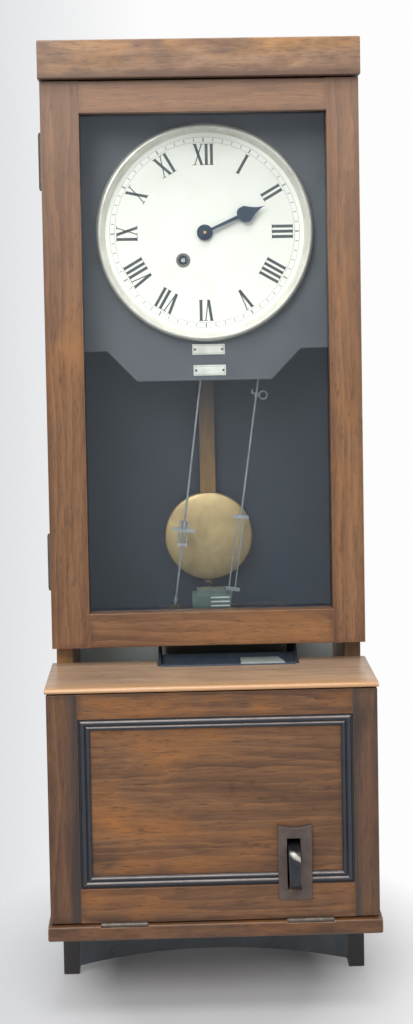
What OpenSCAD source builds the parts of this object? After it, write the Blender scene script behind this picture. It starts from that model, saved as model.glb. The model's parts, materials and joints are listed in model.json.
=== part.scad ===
// Wall-hung employee time clock: an oak case with a glazed upper door and a drop-front lower box.
// X runs to the right, Y back to the wall and Z up. The origin is on the wall, in the middle of
// the four wall screws. Heights in the modules are taken from under the feet.

/* [Case] */
// Width over the case sides
case_w = 344; // [320:1:380]
// Depth of the case, from the wall to the front edges of its sides
case_d = 143; // [135:1:180]
// Height of the case sides, feet included
case_h = 1010; // [1000:1:1100]
// Thickness of a case side
side_t = 18; // [14:1:20]
// Thickness of the backboard
back_t = 12; // [8:1:14]
// Thickness of the case top
top_t = 16; // [12:1:22]
// Height of the underside of the base board
foot_h = 89; // [70:1:110]
// Height at which the arch between the feet springs
arch_spring = 9.5; // [5:0.5:20]
// Rise of the arch at its middle
arch_rise = 17; // [10:1:30]
// Thickness of the apron
apron_t = 16; // [10:1:22]

/* [Wall screws] */
// Height of the lower wall screws
screw_low = 200; // [150:1:260]
// Distance of the upper wall screws below the top of the case sides
screw_high_in = 110; // [60:1:160]
// Spacing of the wall screws along X
screw_dx = 240; // [160:1:260]
// Diameter of the wall screw holes
screw_d = 7; // [4:0.5:9]

/* [Cornice] */
// Overhang of the cornice on each side of the case
cornice_side_over = 4.3; // [1:0.1:20]
// Height of the cornice
cornice_h = 41.6; // [30:0.2:60]
// Overhang of the cornice in front of the upper door
cornice_over = 10.5; // [4:0.5:20]
// Thickness of the cornice boards
cornice_t = 18; // [14:1:22]
// Thickness of the cornice lid
lid_t = 14; // [8:1:18]

/* [Upper door] */
// Overhang of the upper door on each side of the case
door_side_over = 3; // [1:0.5:20]
// Thickness of the upper door
door_t = 21.6; // [18:0.2:26]
// Gap between the top board and the upper door
door_clear = 21; // [15:1:35]
// Gap between the upper door and the cornice
door_gap = 1.4; // [0.8:0.1:3]
// Gap between the upper door and the case front
door_back_gap = 0.4; // [0.3:0.1:1]
// Width of the left stile
door_left_w = 42.2; // [36:0.2:50]
// Width of the right stile
door_right_w = 35.6; // [30:0.2:50]
// Width of the lower door rail
door_low_rail = 38.4; // [30:0.2:42]
// Width of the upper door rail
door_top_rail = 35.6; // [30:0.2:50]
// Depth of the glass rebate into the frame
rebate = 6; // [4:0.5:9]
// Thickness of the glass
glass_t = 3; // [2:0.5:4]
// Depth of the frame in front of the glass
door_lip = 14; // [8:0.5:15]

/* [Door hinges] */
// Length of a door hinge
door_hinge_len = 60; // [40:1:80]
// Height of the middle of the lower door hinge over the door's lower edge
door_hinge_low_in = 94; // [60:1:160]
// Distance of the middle of the upper door hinge below the door's upper edge
door_hinge_high_in = 85.6; // [60:0.2:160]
// Radius of the door hinge knuckles
door_knuckle_r = 3.5; // [3:0.1:4.5]
// Radius of the door hinge pins
door_pin_r = 1.5; // [1:0.1:1.8]
// Thickness of the door hinge leaves
door_leaf_t = 1.5; // [1:0.1:1.8]
// Width of the door hinge leaves from the pin
door_leaf_w = 16; // [12:0.5:18]

/* [Lower box] */
// Width over the lower box
box_w = 351; // [345:0.5:390]
// Depth of the lower box in front of the case sides
box_d = 114; // [100:1:130]
// Thickness of the box sides
box_side_t = 16; // [12:1:20]
// Thickness of the base board
base_t = 16; // [12:1:20]
// Overhang of the base board at each side
base_over = 2.7; // [1:0.1:8]
// Overhang of the base board at the front
base_front = 4; // [3.6:0.1:8]
// Height of the upper face of the top board
top_board_h = 360; // [340:1:400]
// Thickness of the top board
top_board_t = 18; // [14:1:22]
// Thickness of the lip of the top board over the drop front
top_lip_t = 5; // [3:0.5:8]
// Radius of the upper edge of that lip
top_lip_r = 4; // [1:0.5:4.5]
// Overhang of the top board at each side
top_over = 1.5; // [0.5:0.1:8]
// Overhang of the top board at the front
top_front = 2; // [1:0.5:10]
// Radius of the lower edges of the base board
base_edge_r = 3.5; // [1:0.5:6]
// Radius of the upper front edge of the base board
base_nose_r = 1.5; // [0.5:0.5:3]
// Width of the cove between the base board and the box sides
cove_w = 2.4; // [1:0.1:2.6]
// Height of the cove
cove_h = 7; // [4:0.5:12]

/* [Drop front] */
// Thickness of the drop front
flap_t = 22; // [18:0.5:26]
// Gap over the drop front
flap_gap = 1.5; // [1:0.1:4]
// Gap between the drop front and the box sides
flap_back_gap = 0.4; // [0.3:0.1:1]
// Gap between the drop front and the base board
flap_low_gap = 2; // [1.6:0.1:3]
// Width of the left stile of the drop front
flap_left_w = 33; // [26:0.5:55]
// Width of the right stile of the drop front
flap_right_w = 26.5; // [20:0.5:45]
// Height of the lower rail of the drop front
flap_low_rail = 37; // [30:0.5:50]
// Height of the upper rail of the drop front
flap_top_rail = 27; // [12:0.5:36]
// Recess of the field panel
panel_recess = 5; // [3:0.5:7]
// Thickness of the field panel
panel_t = 11; // [8:0.5:12]
// Width of the panel moulding
mould_w = 12.5; // [8:0.5:14]
// Length of a drop front hinge
flap_hinge_len = 48; // [30:1:60]
// Place of the left drop front hinge
flap_hinge_left = -97; // [-125:1:-60]
// Place of the right drop front hinge
flap_hinge_right = 101; // [60:1:125]
// Radius of the drop front hinge knuckles
flap_knuckle_r = 2.2; // [1.9:0.1:2.4]
// Radius of the drop front hinge pins
flap_pin_r = 1; // [0.7:0.1:1.2]
// Thickness of the drop front hinge leaves
flap_leaf_t = 1.2; // [0.8:0.1:1.4]
// Width of the drop front hinge leaves from the pin
flap_leaf_w = 18; // [12:0.5:20]

/* [Escutcheon] */
// Place of the slot along X
slot_x = 84.2; // [60:0.1:110]
// Width of the lever slot
slot_w = 14.4; // [13:0.1:16]
// Height of the lower end of the lever slot
slot_low = 138; // [136:1:145]
// Height of the upper end of the lever slot
slot_high = 194; // [190:1:198]
// Place of the middle of the escutcheon plate along X
plate_x = 85.5; // [82:0.1:87]
// Width of the escutcheon plate
plate_w = 36; // [30:0.1:42]
// Height of the lower edge of the escutcheon plate
plate_low = 128; // [118:1:130]
// Height of the upper corners of the escutcheon plate
plate_high = 208; // [206:1:215]
// Dip of the upper edge of the escutcheon plate
plate_dip = 2.5; // [1:0.1:4]
// Thickness of the escutcheon plate over the rail
plate_t = 2; // [1:0.1:2.2]

/* [Dial] */
// Place of the dial centre along X
dial_x = 4.5; // [-10:0.5:10]
// Distance of the dial centre below the top of the case sides
dial_drop = 167; // [155:1:175]
// Visible radius of the dial
dial_r = 113.2; // [105:0.1:118]
// Outer radius of the bezel
bezel_r = 123.5; // [121:0.5:126]
// Projection of the bezel
bezel_d = 14; // [10:0.5:16]
// Thickness of the dial plate
dial_t = 1.5; // [1:0.1:2]
// Front face of the mask board, from the wall
mask_front = 108; // [106:1:112]
// Thickness of the mask board
mask_t = 10; // [6:0.5:10]
// Distance of the shoulders of the mask board below the dial centre
mask_low_drop = 134; // [130:1:140]
// Distance of the lower edge of the mask board below the dial centre
mask_end_drop = 169; // [164:1:176]
// Half width of the mask board at its shoulders
mask_shoulder = 111; // [100:1:120]
// Half width of the mask board at its lower edge
mask_tongue = 77.5; // [70:0.5:85]
// Place of the middle of the mask board along X
mask_x = 1.5; // [-5:0.5:8]
// Radius of the opening in the mask board
mask_hole_r = 92; // [88:1:100]
// Width of a nameplate
name_w = 37; // [30:1:50]
// Height of a nameplate
name_h = 12; // [8:0.5:14]
// Distance of the upper nameplate below the dial centre
name_drop = 133; // [131:1:136]
// Distance between the nameplates
name_pitch = 24; // [15:1:28]
// Time shown by the hour hand, in degrees from twelve
hour_turn = 65.5; // [0:0.5:360]
// Time shown by the minute hand, in degrees from twelve
minute_turn = 67; // [0:0.5:360]
// Reach of the minute hand
minute_reach = 77; // [70:1:100]
// Reach of the hour hand
hour_reach = 66; // [56:1:74]

/* [Movement] */
// Front face of the front plate, from the wall
plate_front = 96; // [94:0.5:97]
// Front face of the back plate, from the wall
plate_back = 46; // [44:0.5:47]
// Thickness of the movement plates
movement_t = 3; // [2:0.1:4]
// Width of the movement plates
movement_w = 128; // [120:1:140]
// Reach of the movement plates below the dial centre
movement_down = 72; // [70:1:80]
// Reach of the movement plates above the dial centre
movement_up = 72; // [70:1:80]
// Radius of the pillars
pillar_r = 4; // [3:0.5:5]
// Module of the great wheel
great_m = 0.948; // [0.94:0.001:0.955]
// Module of the centre wheel
centre_m = 0.75; // [0.72:0.01:0.76]
// Module of the third wheel
third_m = 0.65; // [0.62:0.01:0.66]
// Module of the cannon pinion and the minute wheel
cannon_m = 0.6; // [0.56:0.01:0.62]
// Radial running clearance of the shafts
run_gap = 0.05; // [0.02:0.01:0.09]
// Gap kept between moving and fixed pieces
free_gap = 0.4; // [0.3:0.1:0.6]

/* [Pendulum] */
// Width of the pendulum lath
lath_w = 18.5; // [14:0.5:20]
// Thickness of the pendulum lath
lath_t = 7; // [5:0.5:8]
// Distance of the pendulum from the wall
pendulum_y = 30; // [28:0.5:31]
// Height of the middle of the bob over the deck
bob_rise = 82; // [72:1:110]
// Radius of the bob
bob_r = 52.5; // [48:0.5:53]
// Thickness of the bob
bob_t = 19; // [15:0.5:20]

/* [Link rods] */
// Distance of the link rods from the wall
link_y = 72; // [70:0.5:76]
// Radius of the link rods
link_r = 1.3; // [1:0.1:1.6]
// Distance of the upper ends of the link rods below the dial centre
link_top_drop = 118; // [110:1:125]

/* [Recorder] */
// Place of the middle of the recorder along X
rec_x = 21; // [15:1:25]
// Width inside the recorder side plates
rec_w = 150; // [146:1:156]
// Thickness of the recorder side plates
rec_t = 3; // [2:0.5:4]
// Height of the upper face of the deck over the top board
deck_rise = 41; // [38:1:50]
// Slope of the card chute from the vertical
chute_tilt = 20; // [15:1:22]
// Gap for the card
card_gap = 5.6; // [5.4:0.1:6.5]
// Width of the card mouth
card_w = 88; // [84:1:92]
// Thickness of the chute sheets
chute_t = 1.5; // [1:0.1:2]
// Length of the chute
chute_len = 180; // [160:1:185]
// Radius of the type wheels
type_r = 16; // [14:0.5:16.5]
// Number of type wheels
type_count = 5; // [3:1:6]
// Radius of the recorder shafts
shaft_r = 4; // [3:0.5:4.5]
// Width of the print lever blade
lever_w = 12; // [8:0.5:12.5]

/* [Hidden] */
oak = [0.56, 0.40, 0.28];
dark_oak = [0.42, 0.28, 0.18];
slate = [0.35, 0.36, 0.38];
cream = [0.95, 0.95, 0.90];
silver = [0.78, 0.76, 0.70];
brass = [0.72, 0.58, 0.30];
matt_brass = [0.67, 0.61, 0.45];
steel = [0.55, 0.58, 0.62];
dark_steel = [0.25, 0.26, 0.29];
bronze = [0.60, 0.50, 0.46];
blued = [0.12, 0.20, 0.42];
glass_tint = [0.75, 0.85, 0.90, 0.35];
fine = 96;
small = 32;
eps = 0.01;
// How far a cutting shape reaches past the face that it opens
cut = 1;

// Case
case_x = case_w / 2;
inner_x = case_x - side_t;
front_y = -case_d;
base_top = foot_h + base_t;
arch_half = inner_x;
arch_r = (arch_half * arch_half + arch_rise * arch_rise) / (2 * arch_rise);
arch_sides = 180;
screw_z = [screw_low, case_h - screw_high_in];
hang_h = (screw_z[0] + screw_z[1]) / 2;
screw_head_d = screw_d * 2;
screw_head_deep = 2;

// Upper door
door_back = front_y - door_back_gap;
door_front = door_back - door_t;
door_low = top_board_h + door_clear;
door_high = case_h - door_gap;
door_x1 = case_x + door_side_over;
door_x0 = -door_x1;
open_x = [door_x0 + door_left_w, door_x1 - door_right_w];
open_z = [door_low + door_low_rail, door_high - door_top_rail];
glass_front = door_front + door_lip;
rebate_play = 0.5;
rebate_x = [open_x[0] - rebate, open_x[1] + rebate];
rebate_z = [open_z[0] - rebate, open_z[1] + rebate];
glass_x = [rebate_x[0] + rebate_play, rebate_x[1] - rebate_play];
glass_z = [rebate_z[0] + rebate_play, rebate_z[1] - rebate_play];
bead_y = [glass_front + glass_t, door_back];

// Door hinges, with the pin just outside the case side
knuckle_off = 0.5;
door_axis_x = -(case_x + door_knuckle_r + knuckle_off);
door_axis_y = front_y - door_back_gap / 2;
door_hinge_z = [door_low + door_hinge_low_in, door_high - door_hinge_high_in];
door_knuckles = 5;
knuckle_gap = 0.2;
knuckle_clear = 0.4;
head_gap = 0.5;
door_head_t = 2;
door_head_r = door_knuckle_r - 0.5;
flap_head_t = 1;
flap_head_r = flap_knuckle_r - 0.4;

// Cornice
cornice_x = case_x + cornice_side_over;
cornice_front_y = door_front - cornice_over;
cornice_top = case_h + cornice_h;

// Lower box
box_x = box_w / 2;
box_front = front_y - box_d;
base_x = box_x + base_over;
cove_r = (cove_w * cove_w + cove_h * cove_h) / (2 * cove_w);
flap_back = box_front + flap_t;
flap_low = base_top + flap_low_gap;
flap_high = top_board_h - top_lip_t - flap_gap;
flap_in_x = [-box_x + flap_left_w, box_x - flap_right_w];
flap_in_z = [flap_low + flap_low_rail, flap_high - flap_top_rail];
panel_front = box_front + panel_recess;
flap_knuckle_off = 0.3;
flap_axis_y = box_front - flap_knuckle_r - flap_knuckle_off;
flap_axis_z = base_top + flap_low_gap / 2;
flap_hinge_x = [flap_hinge_left, flap_hinge_right];
flap_knuckles = 3;
// Half of the gap between two strips of the moulding
mitre_gap = 0.05;
// Place and radius of the two beads of the moulding, as parts of its width
bead_in = [0.2, 0.17];
bead_out = [0.64, 0.22];
escutcheon_front = box_front - plate_t;
plate_dip_r = (plate_w * plate_w / 4 + plate_dip * plate_dip) / (2 * plate_dip);
plate_screw_r = 2.4;
plate_screw_t = 0.8;
plate_screw_z = [(plate_low + slot_low) / 2, slot_high + 2 * plate_screw_r + 1];
screw_slot_w = 0.7;

// Dial and movement: places in the dial plane are measured from the dial centre
dial_h = case_h - dial_drop;
mask_y = -mask_front;
mask_back = mask_y + mask_t;
mask_low = dial_h - mask_low_drop;
mask_end = dial_h - mask_end_drop;
dial_front = mask_y - dial_t;
dial_seat = 2.8;
bezel_seat = 3.8;
bezel_lip = 0.6;
name_at = [[dial_x + 2, dial_h - name_drop], [dial_x + 3, dial_h - name_drop - name_pitch]];
name_t = 1;
name_screw_r = 1.4;
name_screw_t = 0.7;
name_screw_in = 3;
fp = [-plate_front, -plate_front + movement_t];
bp = [-plate_back, -plate_back + movement_t];
great_n = 72;
centre_pinion_n = 12;
centre_n = 80;
third_pinion_n = 8;
third_n = 74;
escape_pinion_n = 8;
cannon_n = 20;
minute_n = 60;
minute_pinion_n = 15;
hour_n = 60;
barrel_angle = 231;
third_angle = 48.2;
great_dist = great_m * (great_n + centre_pinion_n) / 2;
third_dist = centre_m * (centre_n + third_pinion_n) / 2;
escape_dist = third_m * (third_n + escape_pinion_n) / 2;
motion_dist = cannon_m * (cannon_n + minute_n) / 2;
hour_m = 2 * motion_dist / (minute_pinion_n + hour_n);
motion_angle = 45;
barrel_at = [great_dist * cos(barrel_angle), great_dist * sin(barrel_angle)];
third_at = [third_dist * cos(third_angle), third_dist * sin(third_angle)];
escape_at = [0, third_at[1] + sqrt(escape_dist * escape_dist - third_at[0] * third_at[0])];
motion_at = [motion_dist * cos(motion_angle), motion_dist * sin(motion_angle)];
escape_r = 14.5;
pallet_clear = 1.3;
anchor_at = [0, escape_at[1] + 22.4];
great_y = [-67, -63];
centre_y = [-56, -54];
third_y = [-76, -74];
escape_y = [-62, -60];
cannon_y = [-101, -97];
minute_y = [-100.4, -98.8];
hour_y = [-105.4, -103.8];
arbor_r = 1.5;
pipe_r = 2.6;
hour_pipe_r = 4;
hour_pipe_end = 1.6;
pipe_over = 0.3;
small_arbor_r = 1.2;
wind_r = 3;
stud_r = 1.2;
fit = 0.01;
arbor_end = 0.5;
hour_hand_y = [-113.6, -112.4];
minute_hand_y = [-117.2, -116];
hand_nut_y = [-119.2, -117.6];
hand_nut_r = 4;
hand_steps = 16;
// Each spade: half of its width, its length, the power of its taper
spade_peak = 0.32;
hour_hub_r = 9;
hour_arm = 1.6;
hour_spade = [8.4, 25, 1.6];
minute_hub_r = 6;
minute_arm = 1.3;
minute_spade = [9.6, 36, 2];
dial_hole_r = 5;
wind_hole_r = 6.5;
grommet_r = 8;
grommet_wall = 1.3;
grommet_t = 1;
wind_round_y = -104;
wind_square_y = -110.5;
wind_square = 4;
ratchet_n = 24;
ratchet_r = 12;
ratchet_tooth = 2;
ratchet_y = [-98.4, -96.5];
click_gap = 0.5;
click_pivot = barrel_at + [-18, 9];
click_hub_r = 3.2;
click_nose_r = 1;
click_angle = 116;
click_nose = barrel_at + at(ratchet_r + click_gap + click_nose_r, click_angle);
click_post = 0.6;
pillar_in = 9;
pillar_at = [for (x = [-1, 1], z = [-movement_down + pillar_in, movement_up - pillar_in])
    [x * (movement_w / 2 - pillar_in), z]];
pillar_nut_t = 3;
motion_stud_y = -107;
motion_pinion_y = -106;
pinion_over = 3;
leaf_over = 4;
barrel_r = 26;
barrel_y = -88;
barrel_lip_r = 27.5;
barrel_lip_y = [-86, -84.5];
escape_n = 30;
escape_tooth = 3;

// Pendulum, swinging about the anchor axis
swing_h = dial_h + anchor_at[1];
pend_y = -pendulum_y;
spring_t = 0.3;
spring_w = 8;
spring_high = 7;
anchor_hub_r = 4;
anchor_side = 0.8;
pallet_root = [15, -6];
pallet_root_r = 3;
pallet_tip_r = 1.2;
pallet_angle = 43;
crutch_y = [-38.5, -36.5];
crutch_len = 60;
crutch_w = 4;
fork_t = 2;
fork_h = 6;
fork_x = lath_w / 2 + free_gap;
cock_half = 8;
cock_z = [1.5, 14];
cock_foot_half = 14;
cock_foot_z = [-6, 22];
cock_foot_t = 3;
cock_slot = 0.5;
cock_slot_h = 9;
lath_top = swing_h - 18;
deck_h = top_board_h + deck_rise;
bob_h = deck_h + bob_rise;
bob_low = bob_h - bob_r;
// Outline of the bob from its centre to its rim: part of the radius, part of the thickness
bob_curve = [[0, 0.5], [0.35, 0.48], [0.6, 0.42], [0.8, 0.34], [0.92, 0.26], [0.98, 0.19], [1, 0.12]];
lath_low = bob_low + 4;
rating_r = 1.5;
rating_nut_r = 7;
rating_nut_t = 5;
rating_end = 12;

// Round openings in each wheel: [how many, inner radius, outer radius]
centre_spokes = [5, 6, 26];
minute_spokes = [4, 6.5, 15];
hour_spokes = [4, 6.5, 16];
third_spokes = [5, 5, 21];
escape_spokes = [4, 3.5, 10];

// Link rods: [x at the upper height, x at the lower height]
link_drop = 184;
link_rise = 4;
link_h = [dial_h - link_drop, deck_h + link_rise];
left_x = [-4.5, -37.5];
right_x = [62.9, 27];
function link_x(x, h) = x[1] + (x[0] - x[1]) * (h - link_h[1]) / (link_h[0] - link_h[1]);
function link_lean(x) = atan((x[0] - x[1]) / (link_h[0] - link_h[1]));
link_low = deck_h - 1;
link_top = dial_h - link_top_drop;
guide_drop = 153;
guide_h = dial_h - guide_drop;
guide_low = deck_h + 4;
guide_size = 9;
guide_half = 4;
guide_reach = 30;
guide_play = 0.08;
bar_t = 3;
bar_half_h = 2;
left_bar_h = deck_h + 96;
left_bar_half = 13;
prong_gap = 4.5;
prong_r = 1.2;
prong_z = [-19, 11];
collar_r = 2.6;
collar_t = 5;
collar_h = [deck_h + 11, guide_h - 38];
yoke_h = [deck_h + 25, deck_h + 110];
yoke_half = 9;
wire_gap = 3.6;
wire_r = 0.9;
ring_h = guide_h - 35;
ring_x = 8;
ring_r = 4.6;
ring_wire_r = 1;
hook_x = -6;
hook_len = 5;
hook_t = 1.4;

// Recorder: places along the chute are [along the slope, square to it] from the chute mouth
rec_in = [rec_x - rec_w / 2, rec_x + rec_w / 2];
rec_out = [rec_in[0] - rec_t, rec_in[1] + rec_t];
rec_back = -30;
rec_top_y = front_y + 10;
mouth = [front_y - 17, top_board_h - 6];
window_s = 95;
window_w = 44;
window_len = 30;
type_gap = 1.2;
type_pitch = 6.2;
type_w = 5;
type_shaft_r = 3;
type_hub_r = 6;
type_hub_over = 4;
type_sides = 64;
feed_n = 30;
feed_r = [12, 10];
feed_in = 8;
feed_t = 3;
lever_axis = [front_y - 57, foot_h + 97];
rec_front = lever_axis[0] - 14;
// The front edge of the side plates: its place behind the cut-out's edge and above the top board, and its slope
rec_set = 2;
rec_over = 0.5;
rec_shoulder = [60, 44];
function slope(s, n) =
    mouth + s * [sin(chute_tilt), -cos(chute_tilt)] + n * [cos(chute_tilt), sin(chute_tilt)];
type_axis = slope(window_s, card_gap / 2 + type_r + type_gap);
cut_y = front_y - 26;
cut_x = [rec_out[0] - 1, rec_out[1] + 1];
lip_h = top_board_h + chute_t;
lip_y = [cut_y - 5, cut_y + 3];
back_lip = [front_y + 6, top_board_h + 4];
stop_half = 45;
stop_t = 2;
gate_x = [rec_in[0] + card_w + 1, rec_in[0] + card_w + 50];
gate_y = [cut_y - 3, cut_y + 21];
gate_slant = 6;
block_x = [-17, 27];
block_y = [-112, -84];
block_h = 26;
cap_in = [5, 3];
cap_h = 5;

// Print lever: a tube round its shaft, a front arm through the slot and a short rear arm
tube_r = shaft_r + 4;
tube_half = 8;
tube_x = [rec_x - tube_half, slot_x + lever_w / 2];
arm_r = 7;
shoulder_at = [box_front - 7, lever_axis[1] - 10];
shoulder_r = 8;
tip_at = [box_front - 21.5, lever_axis[1] - 35];
tip_r = 3.2;
nose_at = lever_axis + [42, 0];
nose_r = 3;
nose_root_r = 5;

// Print hammer: its places are taken square to the card when it strikes
hammer_drop = 60;
hammer_set = 13;
hammer_back = 11;
hammer_axis = slope(window_s + hammer_drop, card_gap / 2 - hammer_set);
hammer_half = 16;
head_half = [9, 18];
head_n = [card_gap / 2 - 12, card_gap / 2 - 1.5];
stem_half = 5;
stem_s = window_s - 8;
stem_n = [card_gap / 2 - 16, card_gap / 2 - 9];
tail_gap = 1.3;
tail_y = [nose_at[0] - 4, nose_at[0] + 6];
tail_h = nose_at[1] + nose_r + tail_gap;

// Return spring of the lever
coil_r = tube_r + 1.8;
coil_wire_r = 0.8;
coil_turns = 6;
coil_pitch = 3;
coil_steps = 12;
coil_sides = 8;
coil_x = 50;

// Helpers
module place() translate([0, 0, -hang_h]) children();
module block(x, y, z) translate([x[0], y[0], z[0]]) cube([x[1] - x[0], y[1] - y[0], z[1] - z[0]]);
// The range between two distances from the middle plane, on the side s
function pair(s, a, b) = [min(s * a, s * b), max(s * a, s * b)];
// A range made longer by d at both ends
function over(y, d) = [y[0] - d, y[1] + d];
// A point at the radius r and the angle a
function at(r, a) = [r * cos(a), r * sin(a)];
// A cylinder along Y at the place p = [x, height]
module bar_y(r, y, p, sides = small)
    translate([p[0], y[0], p[1]]) rotate([-90, 0, 0]) cylinder(r = r, h = y[1] - y[0], $fn = sides);
// A cylinder along X at the place p = [y, height]
module bar_x(r, x, p, sides = small)
    translate([x[0], p[0], p[1]]) rotate([0, 90, 0]) cylinder(r = r, h = x[1] - x[0], $fn = sides);
// An outline in Y and height, drawn out along X
module slab_x(x) translate([x[0], 0, 0]) rotate([90, 0, 90]) linear_extrude(x[1] - x[0]) children();
// An outline in X and height, drawn out along Y
module slab_y(y) translate([0, y[1], 0]) rotate([90, 0, 0]) linear_extrude(y[1] - y[0]) children();
// Places its children in the dial plane at p, measured from the dial centre
module dial_place(p = [0, 0]) translate([dial_x + p[0], 0, dial_h + p[1]]) children();

// Outline of a bar between two round ends, drawn tangent to both
module taper(p, p_r, q, q_r) {
    along = atan2(q[1] - p[1], q[0] - p[0]);
    side = acos((p_r - q_r) / norm(q - p));
    translate(p) circle(r = p_r, $fn = small);
    translate(q) circle(r = q_r, $fn = small);
    polygon([
        p + at(p_r, along + side), q + at(q_r, along + side),
        q + at(q_r, along - side), p + at(p_r, along - side)
    ]);
}

// Board section from y = front to y = back with its front edges rounded
module edge_board(front, back, low, high, low_r, high_r) {
    polygon([
        [front + low_r, low], [back, low], [back, high],
        [front + high_r, high], [front, high - high_r], [front, low + low_r]
    ]);
    translate([front + low_r, low + low_r]) circle(r = low_r, $fn = small);
    translate([front + high_r, high - high_r]) circle(r = high_r, $fn = small);
}

// One hinge leaf along Z: the pin on the Z axis, the plate towards +X, on the side given by off
module hinge_leaf(len, count, first, knuckle_r, pin_r, leaf_t, leaf_w, off) {
    pitch = len / count;
    start = knuckle_r + knuckle_clear;
    difference() {
        union() {
            for (i = [first : 2 : count - 1]) {
                translate([0, 0, i * pitch + knuckle_gap / 2]) {
                    cylinder(r = knuckle_r, h = pitch - knuckle_gap, $fn = small);
                    translate([0, off, 0]) cube([start + eps, leaf_t, pitch - knuckle_gap]);
                }
            }
            translate([start, off, 0]) cube([leaf_w - start, leaf_t, len]);
        }
        translate([0, 0, -cut]) cylinder(r = pin_r + run_gap, h = len + 2 * cut, $fn = small);
    }
}
module leaf_pocket(len, leaf_t, leaf_w, off)
    translate([0, off, 0]) cube([leaf_w, leaf_t, len]);
// Room for the knuckles and the pin heads
module knuckle_room(len, knuckle_r, head_t)
    translate([0, 0, -head_t - head_gap])
        cylinder(r = knuckle_r + free_gap, h = len + 2 * (head_t + head_gap), $fn = small);
module door_hinge_place()
    for (h = door_hinge_z) translate([door_axis_x, door_axis_y, h - door_hinge_len / 2]) children();
module flap_hinge_place()
    for (x = flap_hinge_x) {
        translate([x - flap_hinge_len / 2, flap_axis_y, flap_axis_z]) rotate([90, 0, 90]) children();
    }
door_off_case = front_y - door_axis_y;
door_off_door = door_back - door_leaf_t - door_axis_y;
flap_off_base = base_top - flap_leaf_t - flap_axis_z;
flap_off_flap = flap_low - flap_axis_z;

// Case
module backboard() color(dark_oak) place()
    difference() {
        block([-inner_x, inner_x], [-back_t, 0], [base_top, case_h - top_t]);
        for (x = [-1, 1], z = screw_z) {
            bar_y(screw_d / 2, over([-back_t, 0], cut), [x * screw_dx / 2, z]);
            bar_y(screw_head_d / 2, [-back_t - cut, -back_t + screw_head_deep], [x * screw_dx / 2, z]);
        }
    }

module case_sides() color(oak) place()
    difference() {
        for (s = [-1, 1]) block(pair(s, inner_x, case_x), [front_y, 0], [0, case_h]);
        door_hinge_place() leaf_pocket(door_hinge_len, door_leaf_t, door_leaf_w, door_off_case);
    }

module case_top() color(oak) place()
    block([-inner_x, inner_x], [front_y, 0], [case_h - top_t, case_h]);

module foot_apron() color(dark_oak) place()
    difference() {
        block([-inner_x, inner_x], [front_y, front_y + apron_t], [arch_spring, foot_h]);
        bar_y(arch_r, over([front_y, front_y + apron_t], cut),
            [0, arch_spring + arch_rise - arch_r], arch_sides);
    }

// Cornice
module cornice_fascias() color(oak) place() {
    block([-cornice_x, cornice_x], [cornice_front_y, cornice_front_y + cornice_t], [case_h, cornice_top]);
    for (s = [-1, 1]) {
        block(pair(s, cornice_x - cornice_t, cornice_x),
            [cornice_front_y + cornice_t, 0], [case_h, cornice_top]);
    }
    block([-cornice_x + cornice_t, cornice_x - cornice_t], [-back_t, 0], [case_h, cornice_top - lid_t]);
}

module cornice_lid() color(oak) place()
    block([-cornice_x + cornice_t, cornice_x - cornice_t], [cornice_front_y + cornice_t, 0],
        [cornice_top - lid_t, cornice_top]);

// Lower box
module box_sides() color(dark_oak) place()
    for (s = [-1, 1]) {
        block(pair(s, box_x - box_side_t, box_x), [flap_back + flap_back_gap, front_y],
            [base_top, top_board_h - top_board_t]);
    }

module top_board() color(oak) place() {
    top_x = box_x + top_over;
    board_low = top_board_h - top_board_t;
    difference() {
        slab_x([-top_x, top_x])
            edge_board(box_front - top_front, front_y, board_low, top_board_h, top_lip_r, top_lip_r);
        block(over([-top_x, top_x], cut), [box_front - top_front - cut, flap_back + flap_back_gap],
            [board_low - cut, top_board_h - top_lip_t]);
        block(cut_x, [cut_y, front_y + cut], over([board_low, top_board_h], cut));
    }
}

// Outline of the base board from the front, with its lower corners rounded
module base_outline() {
    translate([-base_x, foot_h + base_edge_r]) square([2 * base_x, base_t - base_edge_r]);
    translate([-base_x + base_edge_r, foot_h]) square([2 * (base_x - base_edge_r), base_edge_r + eps]);
    for (s = [-1, 1]) {
        translate([s * (base_x - base_edge_r), foot_h + base_edge_r]) circle(r = base_edge_r, $fn = small);
    }
}
module base_board() color(dark_oak) place()
    difference() {
        union() {
            intersection() {
                slab_x([-base_x, base_x])
                    edge_board(box_front - base_front, front_y, foot_h, base_top, base_edge_r, base_nose_r);
                slab_y([box_front - base_front, front_y]) base_outline();
            }
            block([-inner_x, inner_x], [front_y - eps, 0], [foot_h, base_top]);
            slab_y([flap_back + flap_back_gap, front_y]) for (s = [-1, 1]) scale([s, 1]) difference() {
                translate([box_x, base_top - eps]) square([cove_w, cove_h + eps]);
                translate([box_x + cove_r, base_top + cove_h]) circle(r = cove_r, $fn = fine);
            }
        }
        flap_hinge_place() {
            leaf_pocket(flap_hinge_len, flap_leaf_t, flap_leaf_w, flap_off_base);
            knuckle_room(flap_hinge_len, flap_knuckle_r, flap_head_t);
        }
    }

// Hinges
module fixed_hinge_leaves() color(steel) place() {
    door_hinge_place() hinge_leaf(door_hinge_len, door_knuckles, 0, door_knuckle_r, door_pin_r, door_leaf_t,
        door_leaf_w, door_off_case);
    flap_hinge_place() hinge_leaf(flap_hinge_len, flap_knuckles, 0, flap_knuckle_r, flap_pin_r, flap_leaf_t,
        flap_leaf_w, flap_off_base);
}

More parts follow.
